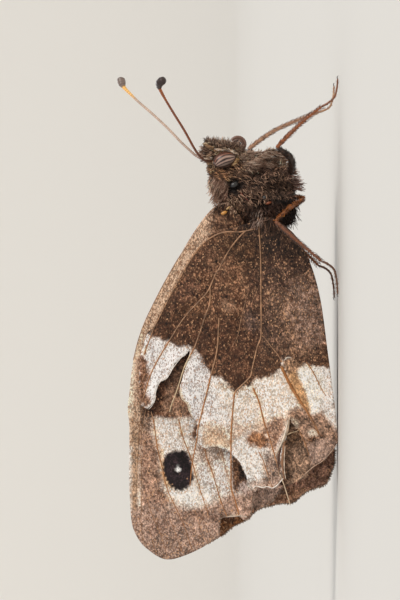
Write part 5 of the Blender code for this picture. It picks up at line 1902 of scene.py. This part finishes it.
def seated(flat, wings, side):
    """How far out points of a line lie on the wing or the skin below them, whichever is outermost."""
    out = []
    for (x, z), wing in zip(flat, wings):
        before = out[-1] - STEEPEST if out else None
        skin = skin_out(x, z, side, before)
        out.append(max(wing, NOWHERE if skin is None else skin, before or NOWHERE))
        if out[-1] == NOWHERE:
            return None
    return out


def lock_strands(side, lock, seed):
    """Hairs of one lock, and each one's place on the skin's unwrap."""
    chance = np.random.default_rng(seed)
    outline = np.array(lock.area)
    low, high = outline.min(axis=0), outline.max(axis=0)
    roots = low + chance.random((lock.number * 4, 2)) * (high - low)
    roots = roots[within(roots, outline)][:lock.number]
    share = np.linspace(0, 1, LOCK_POINTS)
    ahead = np.array([-lock.way[1], -lock.way[0]]) / math.hypot(*lock.way)
    drawn = []
    for root in roots:
        if lock.over == "skin" and skin_out(*root, side) is None:
            continue
        turn = math.radians(chance.normal(0, lock.spread / 2))
        way = np.array([ahead[0] * math.cos(turn) - ahead[1] * math.sin(turn),
                        ahead[0] * math.sin(turn) + ahead[1] * math.cos(turn)])
        length = chance.uniform(lock.shortest, lock.longest)
        bend = chance.normal(0, 0.2)
        flat = root + length * (share[:, None] * way
                                + bend * share[:, None] ** 2 * np.array([-way[1], way[0]]))
        rise = chance.uniform(0.1, 0.35) * length * np.sin(np.pi * share ** 0.7)
        bright = chance.uniform(0.7, 1.3) if chance.random() < BRIGHT_HAIRS else chance.uniform(0, 0.3)
        drawn.append((flat, rise, bright))
    flats = np.array([flat for flat, _, _ in drawn])
    if lock.over == "wings":
        wings = wings_out(flats.reshape(-1, 2)).reshape(-1, LOCK_POINTS)
    made, laid = [], []
    for index, (flat, rise, bright) in enumerate(drawn):
        if lock.over == "wings":
            out = seated(flat, wings[index], side)
        else:
            out = [skin_out(*flat[0], side)]
            for x, z in flat[1:]:
                out.append(skin_out(x, z, side, out[-1]))
        if out is None:
            continue
        line = stood(flat, side * (np.array(out) + lock.stand + rise + 0.08 * share))
        tone = blended(linear(lock.dark), linear(lock.pale), bright)
        made.append(Strand(line, tapered(LOCK_POINTS, lock.thick, 0.3 * lock.thick), tone))
        face = SKIN_TREE.find_nearest(Vector(line[0]))[2]
        laid.append(SKIN_UV[face])
    return made, laid


def on_unwrap(mesh):
    """Lays each hair as a small patch at its root's place on the skin's unwrap."""
    count = len(mesh.vertices)
    values = {}
    for label in ("root_u", "root_v", "along"):
        values[label] = np.empty(count, np.float32)
        mesh.attributes[label].data.foreach_get("value", values[label])
    corners = np.empty(len(mesh.loops), np.int32)
    mesh.loops.foreach_get("vertex_index", corners)
    u = values["root_u"][corners] + UV_PATCH * (values["along"][corners] - 0.5)
    v = values["root_v"][corners] + UV_PATCH * (corners % 3 - 1) / 2
    layer = mesh.uv_layers.get("OFBake") or mesh.uv_layers.new(name="OFBake")
    layer.data.foreach_set("uv", np.stack([u, v], axis=1).astype(np.float32).ravel())


for label, side in SIDES.items():
    strands, places = [], []
    for seed, lock in enumerate(LOCKS):
        made, laid = lock_strands(side, lock, seed + 40)
        strands += made
        places += laid
    roots = np.repeat(np.array(places), LOCK_POINTS, axis=0)
    marks = {"shade": np.full(len(roots), LOCK_SHADE),
             "along": np.tile(np.linspace(0, 1, LOCK_POINTS), len(places)),
             "root_u": roots[:, 0], "root_v": roots[:, 1]}
    mesh = tubes(f"locks_{label}", strands, HAIR, 3, marks)
    on_unwrap(mesh)
    finished(f"locks_{label}", mesh)

# %% [markdown]
# ## Bare plates at the wing joint
# Between the hair, where the wings are hinged, small plates of bare horn show: a black ball and an
# orange scale over the root of the forewing. A dark pit with a red-brown rim is a near-black plate, its
# colour painted shade of the hollow.

# %% Bare plates
PLATES = (
    # line in the picture, radius in the middle, colour, how far it stands out
    ("230.3,186.6 234.4,184.8 238.6,182.8", 0.3, "#080504", 0.16),
    # painted shade: a near-black plate where the hollow of the pit is in shade
    ("262,199.6 265,197.6 267.6,195.6", 0.26, "#060403", 0.12),
    ("240,192 245,197.5 251,203", 0.05, "#8A3E2C", 0.2),
    ("265.5,204 268,203 271.5,202", 0.12, "#8E4A28", 0.2),
    ("221,214 224,213 227,211.5", 0.15, "#C08438", 0.34),
    ("226,209.5 228,208.4 230,206.6", 0.09, "#B8905A", 0.34),
)


def plate(line, thickest, colour, stand, side):
    flat = evenly(np.array(traced(line)), 0.06)
    swell = np.sqrt(1 - np.linspace(-0.97, 0.97, len(flat)) ** 2)
    out = seated(flat, wings_out(flat), side)
    places = stood(flat, np.full(len(flat), side * (np.mean(out) + stand)))
    return Strand(places, thickest * swell, linear(colour))


strands = [plate(*given, side) for given in PLATES for side in SIDES.values()]
tube_piece("bare_plates", strands, GLOSSY_HORN, 14)

# %% Remove the helper tufts
for helper in list(TUFTS.objects):
    bpy.data.objects.remove(helper)
bpy.data.collections.remove(TUFTS)
